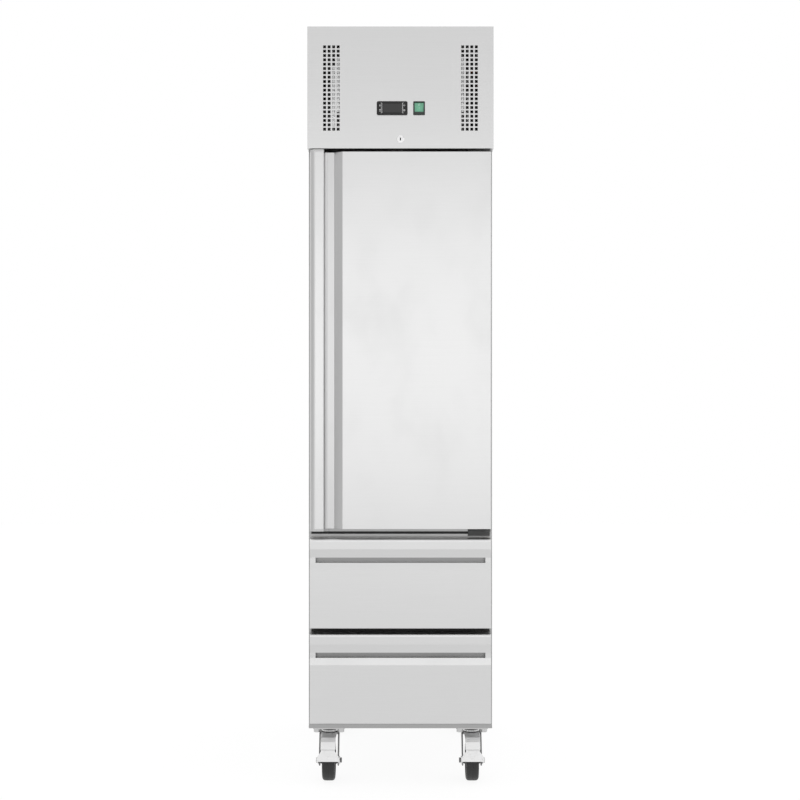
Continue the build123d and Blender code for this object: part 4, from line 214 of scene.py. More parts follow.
class Tree:
    """The nodes of a material or of the world."""

    def __init__(self, tree):
        self.nodes = tree.nodes
        self.links = tree.links

    def put(self, socket, value):
        if isinstance(value, Wire):
            self.links.new(value.socket, socket)
        else:
            socket.default_value = value

    def node(self, kind, settings, values, output=0):
        made = self.nodes.new(kind)
        for name, value in settings.items():
            setattr(made, name, value)
        for name, value in values.items():
            self.put(made.inputs[name], value)
        return Wire(self, made.outputs[output])

    def ray(self, kind):
        """1 for one kind of ray and 0 for the others."""
        return self.node("ShaderNodeLightPath", {}, {}, f"Is {kind} Ray")


class Recipe(Tree):
    """A material under one Principled shader, on Object coordinates."""

    def __init__(self, name):
        self.material = bpy.data.materials.new(name)
        self.material.use_nodes = True
        super().__init__(self.material.node_tree)
        self.shader = self.nodes["Principled BSDF"]

    def place(self, scale=(1, 1, 1), centre=(0, 0, 0), turn=(0, 0, 0)):
        """Object coordinates, moved to a centre, turned and stretched."""
        here = self.node("ShaderNodeTexCoord", {}, {}, "Object")
        back = tuple(-value for value in centre)
        moved = self.node("ShaderNodeMapping", {}, {"Vector": here, "Location": back})
        return self.node("ShaderNodeMapping", {}, {"Vector": moved, "Rotation": turn, "Scale": scale})

    def axis(self, place, name):
        return self.node("ShaderNodeSeparateXYZ", {}, {"Vector": place}, name)

    def inside(self, low, high):
        """1 inside a box of the part and 0 outside."""
        place = self.place()
        across, depth, height = [
            self.axis(place, name).band(*ends) for name, ends in zip("XYZ", zip(low, high))
        ]
        return across * depth * height

    def noise(self, place, scale=1.0, detail=3.0, roughness=0.5):
        values = {"Vector": place, "Scale": scale, "Detail": detail, "Roughness": roughness}
        return self.node("ShaderNodeTexNoise", {}, values)

    def cells(self, place, scale, output=0):
        return self.node("ShaderNodeTexVoronoi", {}, {"Vector": place, "Scale": scale}, output)

    def ripples(self, place, scale, distortion=0.0):
        """Level bands one above the other."""
        values = {"Vector": place, "Scale": scale, "Distortion": distortion}
        return self.node("ShaderNodeTexWave", {"bands_direction": "Z"}, values)

    def between(self, first, second, factor):
        """A colour between two colours."""
        return self.node("ShaderNodeMix", {"data_type": "RGBA"}, {0: factor, 6: first, 7: second}, 2)

    def shades(self, colour, factor, spread=0.05):
        """A colour that runs from darker to lighter by a share of itself."""
        return self.between(scaled(colour, 1 - spread), scaled(colour, 1 + spread), factor)

    def relief(self, height, strength, depth=0.0002):
        values = {"Strength": strength, "Distance": depth, "Height": height}
        self.put(self.shader.inputs["Normal"], self.node("ShaderNodeBump", {}, values))

    def finish(self, **values):
        for name, value in values.items():
            self.put(self.shader.inputs[name.replace("_", " ")], value)
        return self.material


def satin_steel(name, colour, grain, roughness=0.3, shaded=()):
    """Satin sheet with a fine grain along one axis and faint wiping marks.

    Each shaded place is its lowest and highest corner and the share of the colour left there.
    """
    recipe = Recipe(name)
    along, crosswise = 7.0, 950.0
    stretch = tuple(along if axis == grain else crosswise for axis in "XYZ")
    fine = recipe.noise(recipe.place(stretch), detail=2.0, roughness=0.6)
    broad = recipe.noise(recipe.place((2.2, 2.2, 1.1)))
    wiped = recipe.place((9.0, 9.0, 5.0), turn=(0.3, 0.5, 0.4))
    marks = recipe.noise(wiped, detail=4.0, roughness=0.6).step(0.45, 0.75)
    tone = 0.72 * fine + 0.28 * broad
    sheet = recipe.shades(colour, tone)
    for low, high, share in shaded:
        darker = recipe.shades(scaled(colour, share), tone)
        sheet = recipe.between(sheet, darker, recipe.inside(low, high))
    recipe.relief(fine, strength=0.05)
    return recipe.finish(
        Base_Color=sheet, Metallic=1.0, Roughness=roughness - 0.03 + 0.05 * fine + 0.05 * marks
    )


def galvanised(name, colour):
    """Zinc-coated sheet with a faint spangle."""
    recipe = Recipe(name)
    place = recipe.place()
    warp = recipe.noise(place, 14.0, detail=2.0)
    spangle = recipe.cells(place, 70.0, "Color")
    tone = recipe.axis(spangle, "X") * 0.6 + warp * 0.4
    recipe.relief(tone, strength=0.03)
    shades = recipe.shades(colour, tone, spread=0.09)
    return recipe.finish(Base_Color=shades, Metallic=0.9, Roughness=0.34 + 0.16 * tone)


def plating(name):
    """A recipe with the rolled surface of zinc plate, its coordinates and its stains."""
    recipe = Recipe(name)
    place = recipe.place()
    recipe.relief(recipe.noise(place, 160.0), strength=0.08, depth=0.0003)
    return recipe, place, recipe.noise(place, 26.0, detail=4.0, roughness=0.6)


def plated(name, colour, roughness):
    """Bright zinc plate."""
    recipe, _, stains = plating(name)
    return recipe.finish(
        Base_Color=recipe.shades(colour, stains, spread=0.10),
        Metallic=0.95,
        Roughness=roughness + 0.14 * stains.step(0.4, 0.8),
    )


def castor_steel(name, hood, leg, centre, half):
    """Plating painted light within half a width of a castor's centre, and plating painted shade outside
    it.
    """
    recipe, place, stains = plating(name)
    across = recipe.axis(place, "X")
    offset = (across * across) ** 0.5 - centre
    legs = offset.beyond(half, soft=0.0004)
    lit_plating = recipe.shades(hood, stains)
    shaded = recipe.shades(leg, stains, spread=0.12)
    return recipe.finish(
        Base_Color=recipe.between(lit_plating, shaded, legs),
        Metallic=0.35 + 0.55 * legs,
        Roughness=0.3 + 0.12 * stains.step(0.4, 0.8),
    )


def painted(name, colour, roughness, peel=0.06):
    """Sprayed paint with a fine orange peel and a little dust."""
    recipe = Recipe(name)
    place = recipe.place()
    skin = recipe.noise(place, 420.0, detail=2.0)
    dust = recipe.noise(place, 11.0, detail=4.0, roughness=0.6)
    recipe.relief(skin, strength=peel, depth=0.0003)
    shades = recipe.shades(colour, dust, spread=0.06)
    return recipe.finish(Base_Color=shades, Roughness=roughness - 0.04 + 0.1 * dust)


def moulded(name, colour, roughness=0.5, texture=0.08, shine=0.5):
    """Moulded plastic with a spark-eroded texture and faint flow marks."""
    recipe = Recipe(name)
    place = recipe.place()
    spark = recipe.noise(place, 1500.0, detail=2.0)
    flow = recipe.noise(place, 30.0)
    recipe.relief(spark, strength=texture, depth=0.0001)
    return recipe.finish(
        Base_Color=recipe.shades(colour, flow, spread=0.06),
        Roughness=roughness - 0.05 + 0.1 * flow,
        Specular_IOR_Level=shine,
    )


def soft_rubber(name, colour, roughness=0.62):
    """Rubber with a dull bloom."""
    recipe = Recipe(name)
    place = recipe.place()
    bloom = recipe.noise(place, 55.0, detail=4.0, roughness=0.65)
    grain = recipe.noise(place, 900.0, detail=2.0)
    recipe.relief(grain, strength=0.12)
    shades = recipe.shades(colour, bloom, spread=0.18)
    return recipe.finish(Base_Color=shades, Roughness=roughness + 0.12 * bloom)


def rigid_foam(name, colour):
    """Cut rigid foam with open cells."""
    recipe = Recipe(name)
    place = recipe.place()
    clouds = recipe.noise(place, 8.0, detail=4.0)
    recipe.relief(recipe.cells(place, 420.0), strength=0.5, depth=0.0015)
    return recipe.finish(Base_Color=recipe.shades(colour, clouds, spread=0.12), Roughness=0.9)


def finned_aluminium(name, colour):
    """Thin aluminium fins with rubbed edges and settled dust."""
    recipe = Recipe(name)
    place = recipe.place()
    dust = recipe.noise(place, 34.0, detail=4.0, roughness=0.6)
    recipe.relief(recipe.ripples(place, 95.0, distortion=0.6), strength=0.25, depth=0.0006)
    shades = recipe.shades(colour, dust, spread=0.12)
    return recipe.finish(Base_Color=shades, Metallic=0.9, Roughness=0.36 + 0.2 * dust)


def copper_tube(name, colour):
    """Drawn copper with darker oxide in blotches."""
    recipe = Recipe(name)
    blotches = recipe.noise(recipe.place(), 30.0, detail=5.0, roughness=0.65)
    oxide = blotches.step(0.42, 0.72)
    shades = recipe.between(colour, scaled(colour, 0.55), oxide)
    return recipe.finish(Base_Color=shades, Metallic=0.95, Roughness=0.24 + 0.26 * oxide)


def coated_wire(name, colour):
    """Wire dipped in pale plastic."""
    recipe = Recipe(name)
    runs = recipe.noise(recipe.place(), 70.0)
    recipe.relief(runs, strength=0.15, depth=0.0004)
    shades = recipe.shades(colour, runs)
    return recipe.finish(Base_Color=shades, Roughness=0.3 + 0.12 * runs, Coat_Weight=0.3)


def frame_plastic(name, finish, foot, mullion, dark_band, edge):
    """Dark plastic of the front frame, with a steel mullion that a band of dark plastic runs along, and
    steel along its foot and sides.
    """
    recipe = Recipe(name)
    place = recipe.place()
    height = recipe.axis(place, "Z")
    edges = (1.0 - height.above(foot)).most(recipe.axis(place, "X").beyond(edge))
    strip = height.band(*mullion) * (1.0 - height.band(*dark_band))
    steel = edges.most(strip)
    grain = recipe.noise(recipe.place((7.0, 950.0, 950.0)), detail=2.0)
    flow = recipe.noise(place, 26.0)
    plastic = recipe.shades(finish.frame_dark, flow, spread=0.12)
    metals = [recipe.shades(colour, grain) for colour in (finish.frame_steel, finish.mullion)]
    recipe.relief(grain, strength=0.04)
    return recipe.finish(
        Base_Color=recipe.between(plastic, recipe.between(*metals, strip), steel),
        Metallic=steel,
        Roughness=0.5 - 0.18 * steel + 0.08 * flow,
    )


# Mesh helpers


def placed(centre, turn=None, stretch=(1, 1, 1)):
    """A matrix that stretches, then turns, then moves."""
    spin = (turn or Matrix.Identity(3)).to_4x4()
    return Matrix.Translation(Vector(centre)) @ spin @ Matrix.Diagonal((*stretch, 1.0))


def turn_to(direction):
    """The turn that takes +Z to a direction."""
    return Vector((0, 0, 1)).rotation_difference(Vector(direction)).to_matrix()


def edges_at(vertices):
    """The edges that end at some vertices, each once."""
    return list({edge for vertex in vertices for edge in vertex.link_edges})


def vertices_in(made):
    """The vertices among what an operator made."""
    return [item for item in made if isinstance(item, bmesh.types.BMVert)]


def ring_outline(inner, outer, low, high):
    """The section of a flat ring, as (radius, height) points."""
    return (inner, low), (outer, low), (outer, high), (inner, high)


def add_bar(mesh, centre, size, bevel=0.0, turn=None):
    """A bar, bevelled where a bevel is given."""
    vertices = bmesh.ops.create_cube(mesh, size=1.0, matrix=placed(centre, turn, size))["verts"]
    if bevel:
        edges = edges_at(vertices)
        bmesh.ops.bevel(
            mesh, geom=edges, offset=bevel, segments=2, profile=0.5, affect="EDGES", material=-1
        )
    return vertices


def add_prism(mesh, sides, radius, height, matrix):
    """A prism that stands on its centre."""
    bmesh.ops.create_cone(
        mesh, cap_ends=True, segments=sides, radius1=radius, radius2=radius, depth=height, matrix=matrix
    )


def add_rib(mesh, start, end, normal, width, height):
    """A raised rib with round shoulders between two points of a surface."""
    along = (end - start).normalized()
    side = normal.cross(along).normalized()
    turn = Matrix((along, side, normal)).transposed()
    centre = (start + end) / 2 + normal * (height / 2 - PRINT)
    add_bar(mesh, centre, ((end - start).length + width, width, height), height * 0.4, turn)


def add_spun(mesh, outline, centre, direction, steps, closed=False, angle=2 * pi):
    """An outline of (radius, height) points spun round an axis, wholly or by an angle."""
    turn = placed(centre, turn_to(direction))
    points = [mesh.verts.new(turn @ Vector((radius, 0, height))) for radius, height in outline]
    pairs = list(zip(points, points[1:]))
    if closed:
        pairs.append((points[-1], points[0]))
    edges = [mesh.edges.new(pair) for pair in pairs]
    before = set(mesh.faces)
    bmesh.ops.spin(
        mesh,
        geom=points + edges,
        cent=turn.translation,
        axis=Vector(direction).normalized(),
        angle=angle,
        steps=steps,
        use_merge=angle == 2 * pi,
        use_duplicate=False,
    )
    return [face for face in mesh.faces if face not in before]


def add_screw(mesh, centre, direction, head):
    """A pan-head screw with a six-sided recess."""
    radius = head / 2
    steps = 20
    rim, socket, height, depth = [radius * share for share in (0.42, 0.34, 0.6, 0.4)]
    outline = ((radius, 0.0), (radius, radius * 0.22), (radius * 0.8, radius * 0.5), (rim, height))
    add_spun(mesh, outline, centre, direction, steps)
    top = placed(centre, turn_to(direction)) @ Matrix.Translation((0, 0, height))
    outer, inner = [
        edges_at(bmesh.ops.create_circle(mesh, segments=sides, radius=reach, matrix=top)["verts"])
        for sides, reach in ((steps, rim), (6, socket))
    ]
    bmesh.ops.bridge_loops(mesh, edges=outer + inner)
    floor = vertices_in(bmesh.ops.extrude_edge_only(mesh, edges=inner)["geom"])
    bmesh.ops.translate(mesh, verts=floor, vec=top.to_3x3() @ Vector((0, 0, -depth)))
    bmesh.ops.contextual_create(mesh, geom=floor)
    bmesh.ops.remove_doubles(mesh, verts=mesh.verts[:], dist=radius * 0.002)


def front_of(node, x, z):
    """The point of a node's front at a place across it, and the way it faces there."""
    part = NODES[node]
    back = part.matrix_world.inverted()
    ahead = 0.05
    start = back @ Vector((x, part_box(node)[0].y - ahead, z))
    found, place, normal, _ = part.ray_cast(start, back.to_3x3() @ Vector((0, 1, 0)))
    if not found:
        raise ValueError(f"{node} has no front at {x}, {z}")
    return part.matrix_world @ place, part.matrix_world.to_3x3() @ normal


def add_object(name, data):
    """A new object of the scene."""
    made = bpy.data.objects.new(name, data)
    bpy.context.scene.collection.objects.link(made)
    return made


def settle(name, mesh, *materials):
    """Turn a mesh in the making into an object of the scene."""
    data = bpy.data.meshes.new(name)
    mesh.to_mesh(data)
    mesh.free()
    for material in materials:
        data.materials.append(material)
    return add_object(name, data)


def add_piece(name, mesh, body, materials, replaces=(), angle=35.0):
    """Finish a mesh as a piece of the object that rides on a body."""
    bmesh.ops.remove_doubles(mesh, verts=mesh.verts[:], dist=1e-6)
    bmesh.ops.recalc_face_normals(mesh, faces=mesh.faces[:])
    piece = settle(name, mesh, *materials)
    piece.data.shade_smooth()
    piece.data.set_sharp_from_angle(angle=radians(angle))
    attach(piece, body)
    if replaces:
        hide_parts(*replaces)


def dress(material, *nodes):
    """Give CAD nodes a material."""
    for node in nodes:
        data = NODES[node].data
        data.materials.clear()
        data.materials.append(material)


# Operators


class FreezerStep(bpy.types.Operator):
    bl_options = {"REGISTER", "UNDO"}

    @property
    def finish(self):
        return bpy.context.scene.freezer_finish

    @property
    def sizes(self):
        return bpy.context.scene.freezer_sizes


class FREEZER_OT_sheet_metal(FreezerStep):
    """Finish the outer panels, the head, the door and drawer fronts and the front frame"""

    bl_idname = "freezer.sheet_metal"
    bl_label = "Sheet metal"

    def execute(self, context):
        self.dress_sheets()
        self.dress_frame()
        dress(moulded("cap_plastic", grey(206), 0.45), "handle_end_caps")
        dress(moulded("bush_plastic", grey(36), 0.4), "hinge_bushes")
        dress(painted("bracket_paint", grey(64), 0.2, 0.12), "hinge_brackets")
        cores = ("cabinet_insulation", "door_insulation", "lower_drawer_core", "upper_drawer_core")
        dress(rigid_foam("rigid_foam", self.finish.foam), *cores)
        return {"FINISHED"}

    def dress_sheets(self):
        """Satin steel, shaded in the handle's pocket, the finger slots and the base pan's fold."""
        steel = self.finish.steel
        dress(satin_steel("satin_steel_head", steel, "X"), "head_fascia")
        dress(satin_steel("satin_steel_door", steel, "X", shaded=[self.pocket_floor()]), "door_skin")
        drawers = ("lower_drawer_front", "upper_drawer_front")
        slots = [self.finger_slot(node) for node in drawers]
        dress(satin_steel("satin_steel_drawers", steel, "X", shaded=slots), *drawers)
        folds = [self.pan_fold()]
        sides = satin_steel("satin_steel_sides", self.finish.side_steel, "Z", 0.36, shaded=folds)
        dress(sides, "outer_panels")
        zinc = galvanised("galvanised_sheet", self.finish.zinc)
        dress(zinc, "back_panel", "machine_cover", "unit_plate")

    def pocket_floor(self):
        """The shaded floor of the pocket handle, at the door's left edge."""
        low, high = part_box("door_skin")
        width, near, far = 0.07, 0.0135, 0.017
        return (low.x, low.y + near, low.z), (low.x + width, low.y + far, high.z), 0.89

    def finger_slot(self, node):
        """The shaded slot across a drawer's front, below its top."""
        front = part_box("door_skin")[0].y
        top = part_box(node)[1].z
        half, near, far = 0.2125, 0.006, 0.030
        lower, upper = 0.059, 0.030
        return (-half, front + near, top - lower), (half, front + far, top - upper), 0.46

    def pan_fold(self):
        """The shaded fold of the base pan, along the panels' foot."""
        low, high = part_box("outer_panels")
        room, depth, height = 1.0, 0.002, 0.007
        corner = (high.x + room, low.y + depth, low.z + height)
        return (low.x - room, low.y - room, low.z - room), corner, 0.62

    def dress_frame(self):
        """Steel where the frame shows beside and below the fronts, and a mullion with a band of dark
        plastic along it.
        """
        door_low, door_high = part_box("door_skin")
        overlap = 0.01
        inset = 0.0005
        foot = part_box("lower_drawer_front")[0].z
        mullion = (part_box("upper_drawer_front")[1].z - overlap, door_low.z + overlap)
        # A band of dark plastic along the mullion
        dark_band = (door_low.z - 0.017, door_low.z - 0.011)
        edge = door_high.x - inset
        plastic = frame_plastic("front_frame_plastic", self.finish, foot, mullion, dark_band, edge)
        dress(plastic, "front_frame")


class FREEZER_OT_inside(FreezerStep):
    """Finish the liner, the shelves, the drawer bins and slides, the fans and the evaporator"""

    bl_idname = "freezer.inside"
    bl_label = "Inside"

    def execute(self, context):
        finish = self.finish
        liner = satin_steel("liner_steel", grey(210), "Z", 0.32)
        dress(liner, "inner_liner", "lower_drawer_bin", "upper_drawer_bin", "shelf_supports")
        dress(moulded("liner_plastic", finish.liner, 0.42), "door_liner", "evaporator_cover")
        shelves = [f"wire_shelf_{level}" for level in ("lower", "middle", "upper")]
        dress(coated_wire("coated_wire", grey(196)), *shelves)
        slides = plated("slide_zinc", finish.bright_zinc, 0.28)
        dress(slides, "outer_slides", "lower_middle_slides", "upper_middle_slides")
        dress(moulded("fan_plastic", grey(30), 0.4), "evaporator_fan", "condenser_fan")
        dress(finned_aluminium("evaporator_fins", grey(196)), "evaporator_coil")
        return {"FINISHED"}


class FREEZER_OT_seals(FreezerStep):
    """Make the bellows seals of the door and the drawers"""

    bl_idname = "freezer.seals"
    bl_label = "Seals"

    def execute(self, context):
        rubber = soft_rubber("seal_rubber", self.finish.seal)
        for node in ("door_gasket", "lower_drawer_gasket", "upper_drawer_gasket"):
            self.make_seal(node, rubber)
        return {"FINISHED"}

    def make_seal(self, node, rubber):
        """Sweep the bellows outline along the four sides, mitred at the corners."""
        low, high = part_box(node)
        width = self.sizes.seal_width
        depth = self.sizes.seal_depth
        # Shares of the width and the depth, from the outer corner of the base
        outline = (
            (0.0, 0.0), (1.0, 0.0), (1.0, 0.13), (0.75, 0.19), (0.89, 0.36), (0.70, 0.52),
            (0.90, 0.64), (0.90, 0.93), (0.84, 1.0), (0.16, 1.0), (0.10, 0.93), (0.10, 0.64),
            (0.30, 0.52), (0.11, 0.36), (0.25, 0.19), (0.0, 0.13),
        )
        # Each bend and the ways from it to the seal's middle
        bends = (
            (low.x, low.z, 1, 1), (high.x, low.z, -1, 1),
            (high.x, high.z, -1, -1), (low.x, high.z, 1, -1),
        )
        mesh = bmesh.new()
        points = [
            mesh.verts.new((low.x + across * width, low.y + deep * depth, low.z + across * width))
            for across, deep in outline
        ]
        ring = [mesh.edges.new(pair) for pair in zip(points, points[1:] + points[:1])]
        start = ring
        for (x0, z0, right0, up0), (x1, z1, right1, up1) in zip(bends, bends[1:]):
            made = bmesh.ops.extrude_edge_only(mesh, edges=ring)["geom"]
            moved = vertices_in(made)
            edges = [item for item in made if isinstance(item, bmesh.types.BMEdge)]
            ring = [edge for edge in edges if all(vertex in moved for vertex in edge.verts)]
            flip = Matrix.Diagonal((right0 * right1, 1, up0 * up1, 1))
            matrix = Matrix.Translation((x1, 0, z1)) @ flip @ Matrix.Translation((-x0, 0, -z0))
            bmesh.ops.transform(mesh, matrix=matrix, verts=moved)
        bmesh.ops.bridge_loops(mesh, edges=ring + start)
        name = node.replace("gasket", "seal")
        add_piece(name, mesh, BODY_OF[node], [rubber], [node], 50.0)


class FREEZER_OT_controls(FreezerStep):
    """Finish the controller, the switch and the lock, and print their symbols"""

    bl_idname = "freezer.controls"
    bl_label = "Controls"

    def execute(self, context):
        finish = self.finish
        dress(moulded("controller_case_plastic", finish.case, 0.42, shine=0.3), "controller_case")
        dress(self.window_plastic(), "controller_window")
        buttons = [f"controller_button_{number}" for number in (1, 2, 3, 4)]
        dress(moulded("button_rubber", grey(26)), *buttons)
        dress(moulded("switch_black_plastic", tint(34, 42, 38), 0.35, 0.03), "switch_housing")
        dress(self.rocker_plastic(), "switch_rocker")
        dress(plated("lock_plate", grey(232), 0.16), "lock_barrel", "lock_plug")
        white = moulded("print_white", finish.print_white, texture=0.0)
        self.print_bezel(white)
        self.print_buttons(white)
        self.print_rocker(moulded("print_pale", tint(196, 226, 210), 0.4, 0.0))
        self.make_keyway_shade()
        return {"FINISHED"}

    def window_plastic(self):
        """Smoked clear plastic over a dark display."""
        recipe = Recipe("display_window")
        haze = recipe.noise(recipe.place(), 90.0, detail=2.0)
        return recipe.finish(
            Base_Color=recipe.shades(self.finish.window, haze),
            Roughness=0.2 + 0.05 * haze,
            Specular_IOR_Level=0.45,
            Coat_Weight=0.1,
            Coat_Roughness=0.04,
        )

    def rocker_plastic(self):
        """Ribbed green lens lit over most of the rocker and darker towards its rim, and its lower end
        painted dark, as the shade of its pressed-in end, without glow.
        """
        recipe = Recipe("green_rocker_plastic")
        finish = self.finish
        low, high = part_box("switch_rocker")
        split = low.z + (high.z - low.z) * 0.2
        place = recipe.place()
        spot = recipe.place((95.0, 0.0, 90.0), middle("switch_rocker"))
        away = recipe.node("ShaderNodeVectorMath", {"operation": "LENGTH"}, {0: spot}, "Value")
        # Painted shade below the split, on the pressed-in lower end; the lens glows above it
        lit = recipe.axis(place, "Z").above(split, soft=0.0005)
        ribs = recipe.ripples(place, 260.0)
        rim = scaled(finish.rocker, 0.78)
        lens = recipe.between(finish.rocker, rim, away.step(0.3, 1.2))
        recipe.relief(ribs, strength=0.12, depth=0.0003)
        return recipe.finish(
            Base_Color=recipe.between(finish.rocker_dark, lens, lit),
            Roughness=0.22 + 0.06 * ribs,
            Coat_Weight=0.5,
            Coat_Roughness=0.06,
            Emission_Color=recipe.between(BLACK, lens, lit),
            Emission_Strength=0.1,
        )

    def print_bezel(self, white):
        """A bracket printed on each side of the window, with a stub at each button's edge."""
        low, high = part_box("controller_window")
        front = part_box("controller_case")[0].y - PRINT / 4
        centre = (low.z + high.z) / 2
        gap, margin, stub_offset = 0.0026, 0.0014, 0.0013
        rise = (high.z - low.z) / 2 + margin
        line = (0.0010, PRINT, 2 * rise)
        stub = (0.0028, PRINT, 0.0009)
        mesh = bmesh.new()
        for side, edge in ((-1, low.x), (1, high.x)):
            x = edge + side * gap
            add_bar(mesh, (x, front, centre), line)
            for z in (-rise, 0, rise):
                add_bar(mesh, (x + side * stub_offset, front, centre + z), stub)
        add_piece("bezel_print", mesh, "cabinet", [white])

    def print_buttons(self, white):
        """One symbol on each button: a ring, two bars, a turning arrow and a framed dot."""
        symbols = (self.add_ring, self.add_bars, self.add_arrow, self.add_frame)
        for number, symbol in enumerate(symbols, start=1):
            node = f"controller_button_{number}"
            low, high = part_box(node)
            mesh = bmesh.new()
            symbol(mesh, Vector(((low.x + high.x) / 2, low.y - PRINT / 4, (low.z + high.z) / 2)))
            add_piece(f"button_print_{number}", mesh, BODY_OF[node], [white])

    def add_ring(self, mesh, centre, angle=2 * pi):
        radius, width = 0.0022, 0.0008
        outline = ring_outline(radius - width, radius, -PRINT / 2, PRINT / 2)
        add_spun(mesh, outline, centre, (0, -1, 0), 32, True, angle)

    def add_bars(self, mesh, centre):
        for rise in (-0.0018, 0.0018):
            add_bar(mesh, centre + Vector((0, 0, rise)), (0.0054, PRINT, 0.0012))

    def add_arrow(self, mesh, centre):
        self.add_ring(mesh, centre, angle=1.5 * pi)
        open_edges = [edge for edge in mesh.edges if edge.is_boundary]
        bmesh.ops.holes_fill(mesh, edges=open_edges, sides=4)
        tip = centre + Vector((0.0016, 0, 0.0003))
        turn = Matrix.Rotation(pi / 2, 3, "X") @ Matrix.Rotation(-pi / 2, 3, "Z")
        add_prism(mesh, 3, 0.0014, PRINT, placed(tip, turn))

    def add_frame(self, mesh, centre):
        reach, width, dot = 0.0018, 0.0007, 0.0012
        for side in (-reach, reach):
            add_bar(mesh, centre + Vector((side, 0, 0)), (width, PRINT, 2 * reach + width))
            add_bar(mesh, centre + Vector((0, 0, side)), (2 * reach - width, PRINT, width))
        add_bar(mesh, centre, (dot, PRINT, dot))

    def print_rocker(self, pale):
        """A ring near the rocker's top and a bar at its middle."""
        centre = middle("switch_rocker")
        mesh = bmesh.new()
        for rise, symbol in ((0.0085, self.add_ring), (0.0004, self.add_stroke)):
            place, normal = front_of("switch_rocker", centre.x, centre.z + rise)
            first = len(mesh.verts)
            symbol(mesh, Vector())
            mesh.verts.ensure_lookup_table()
            turn = Vector((0, -1, 0)).rotation_difference(normal).to_matrix()
            bmesh.ops.transform(mesh, matrix=placed(place, turn), verts=mesh.verts[first:])
        add_piece("rocker_print", mesh, BODY_OF["switch_rocker"], [pale])

    def add_stroke(self, mesh, centre):
        add_bar(mesh, centre, (0.0009, PRINT, 0.0036))

    def make_keyway_shade(self):
        """A dark sheet inside the lock's keyway, painted shade of the deep keyhole."""
        centre = middle("lock_barrel")
        sunk = 0.0012
        mesh = bmesh.new()
        place = (centre.x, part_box("lock_plug")[0].y + sunk, centre.z)
        add_bar(mesh, place, (0.0029, 0.0004, 0.0069))
        # Painted shade: a dark sheet where the keyway is only in shade
        dark = moulded("keyway_shade_paint", grey(24), texture=0.0)
        add_piece("keyway_shade_sheet", mesh, BODY_OF["lock_plug"], [dark])


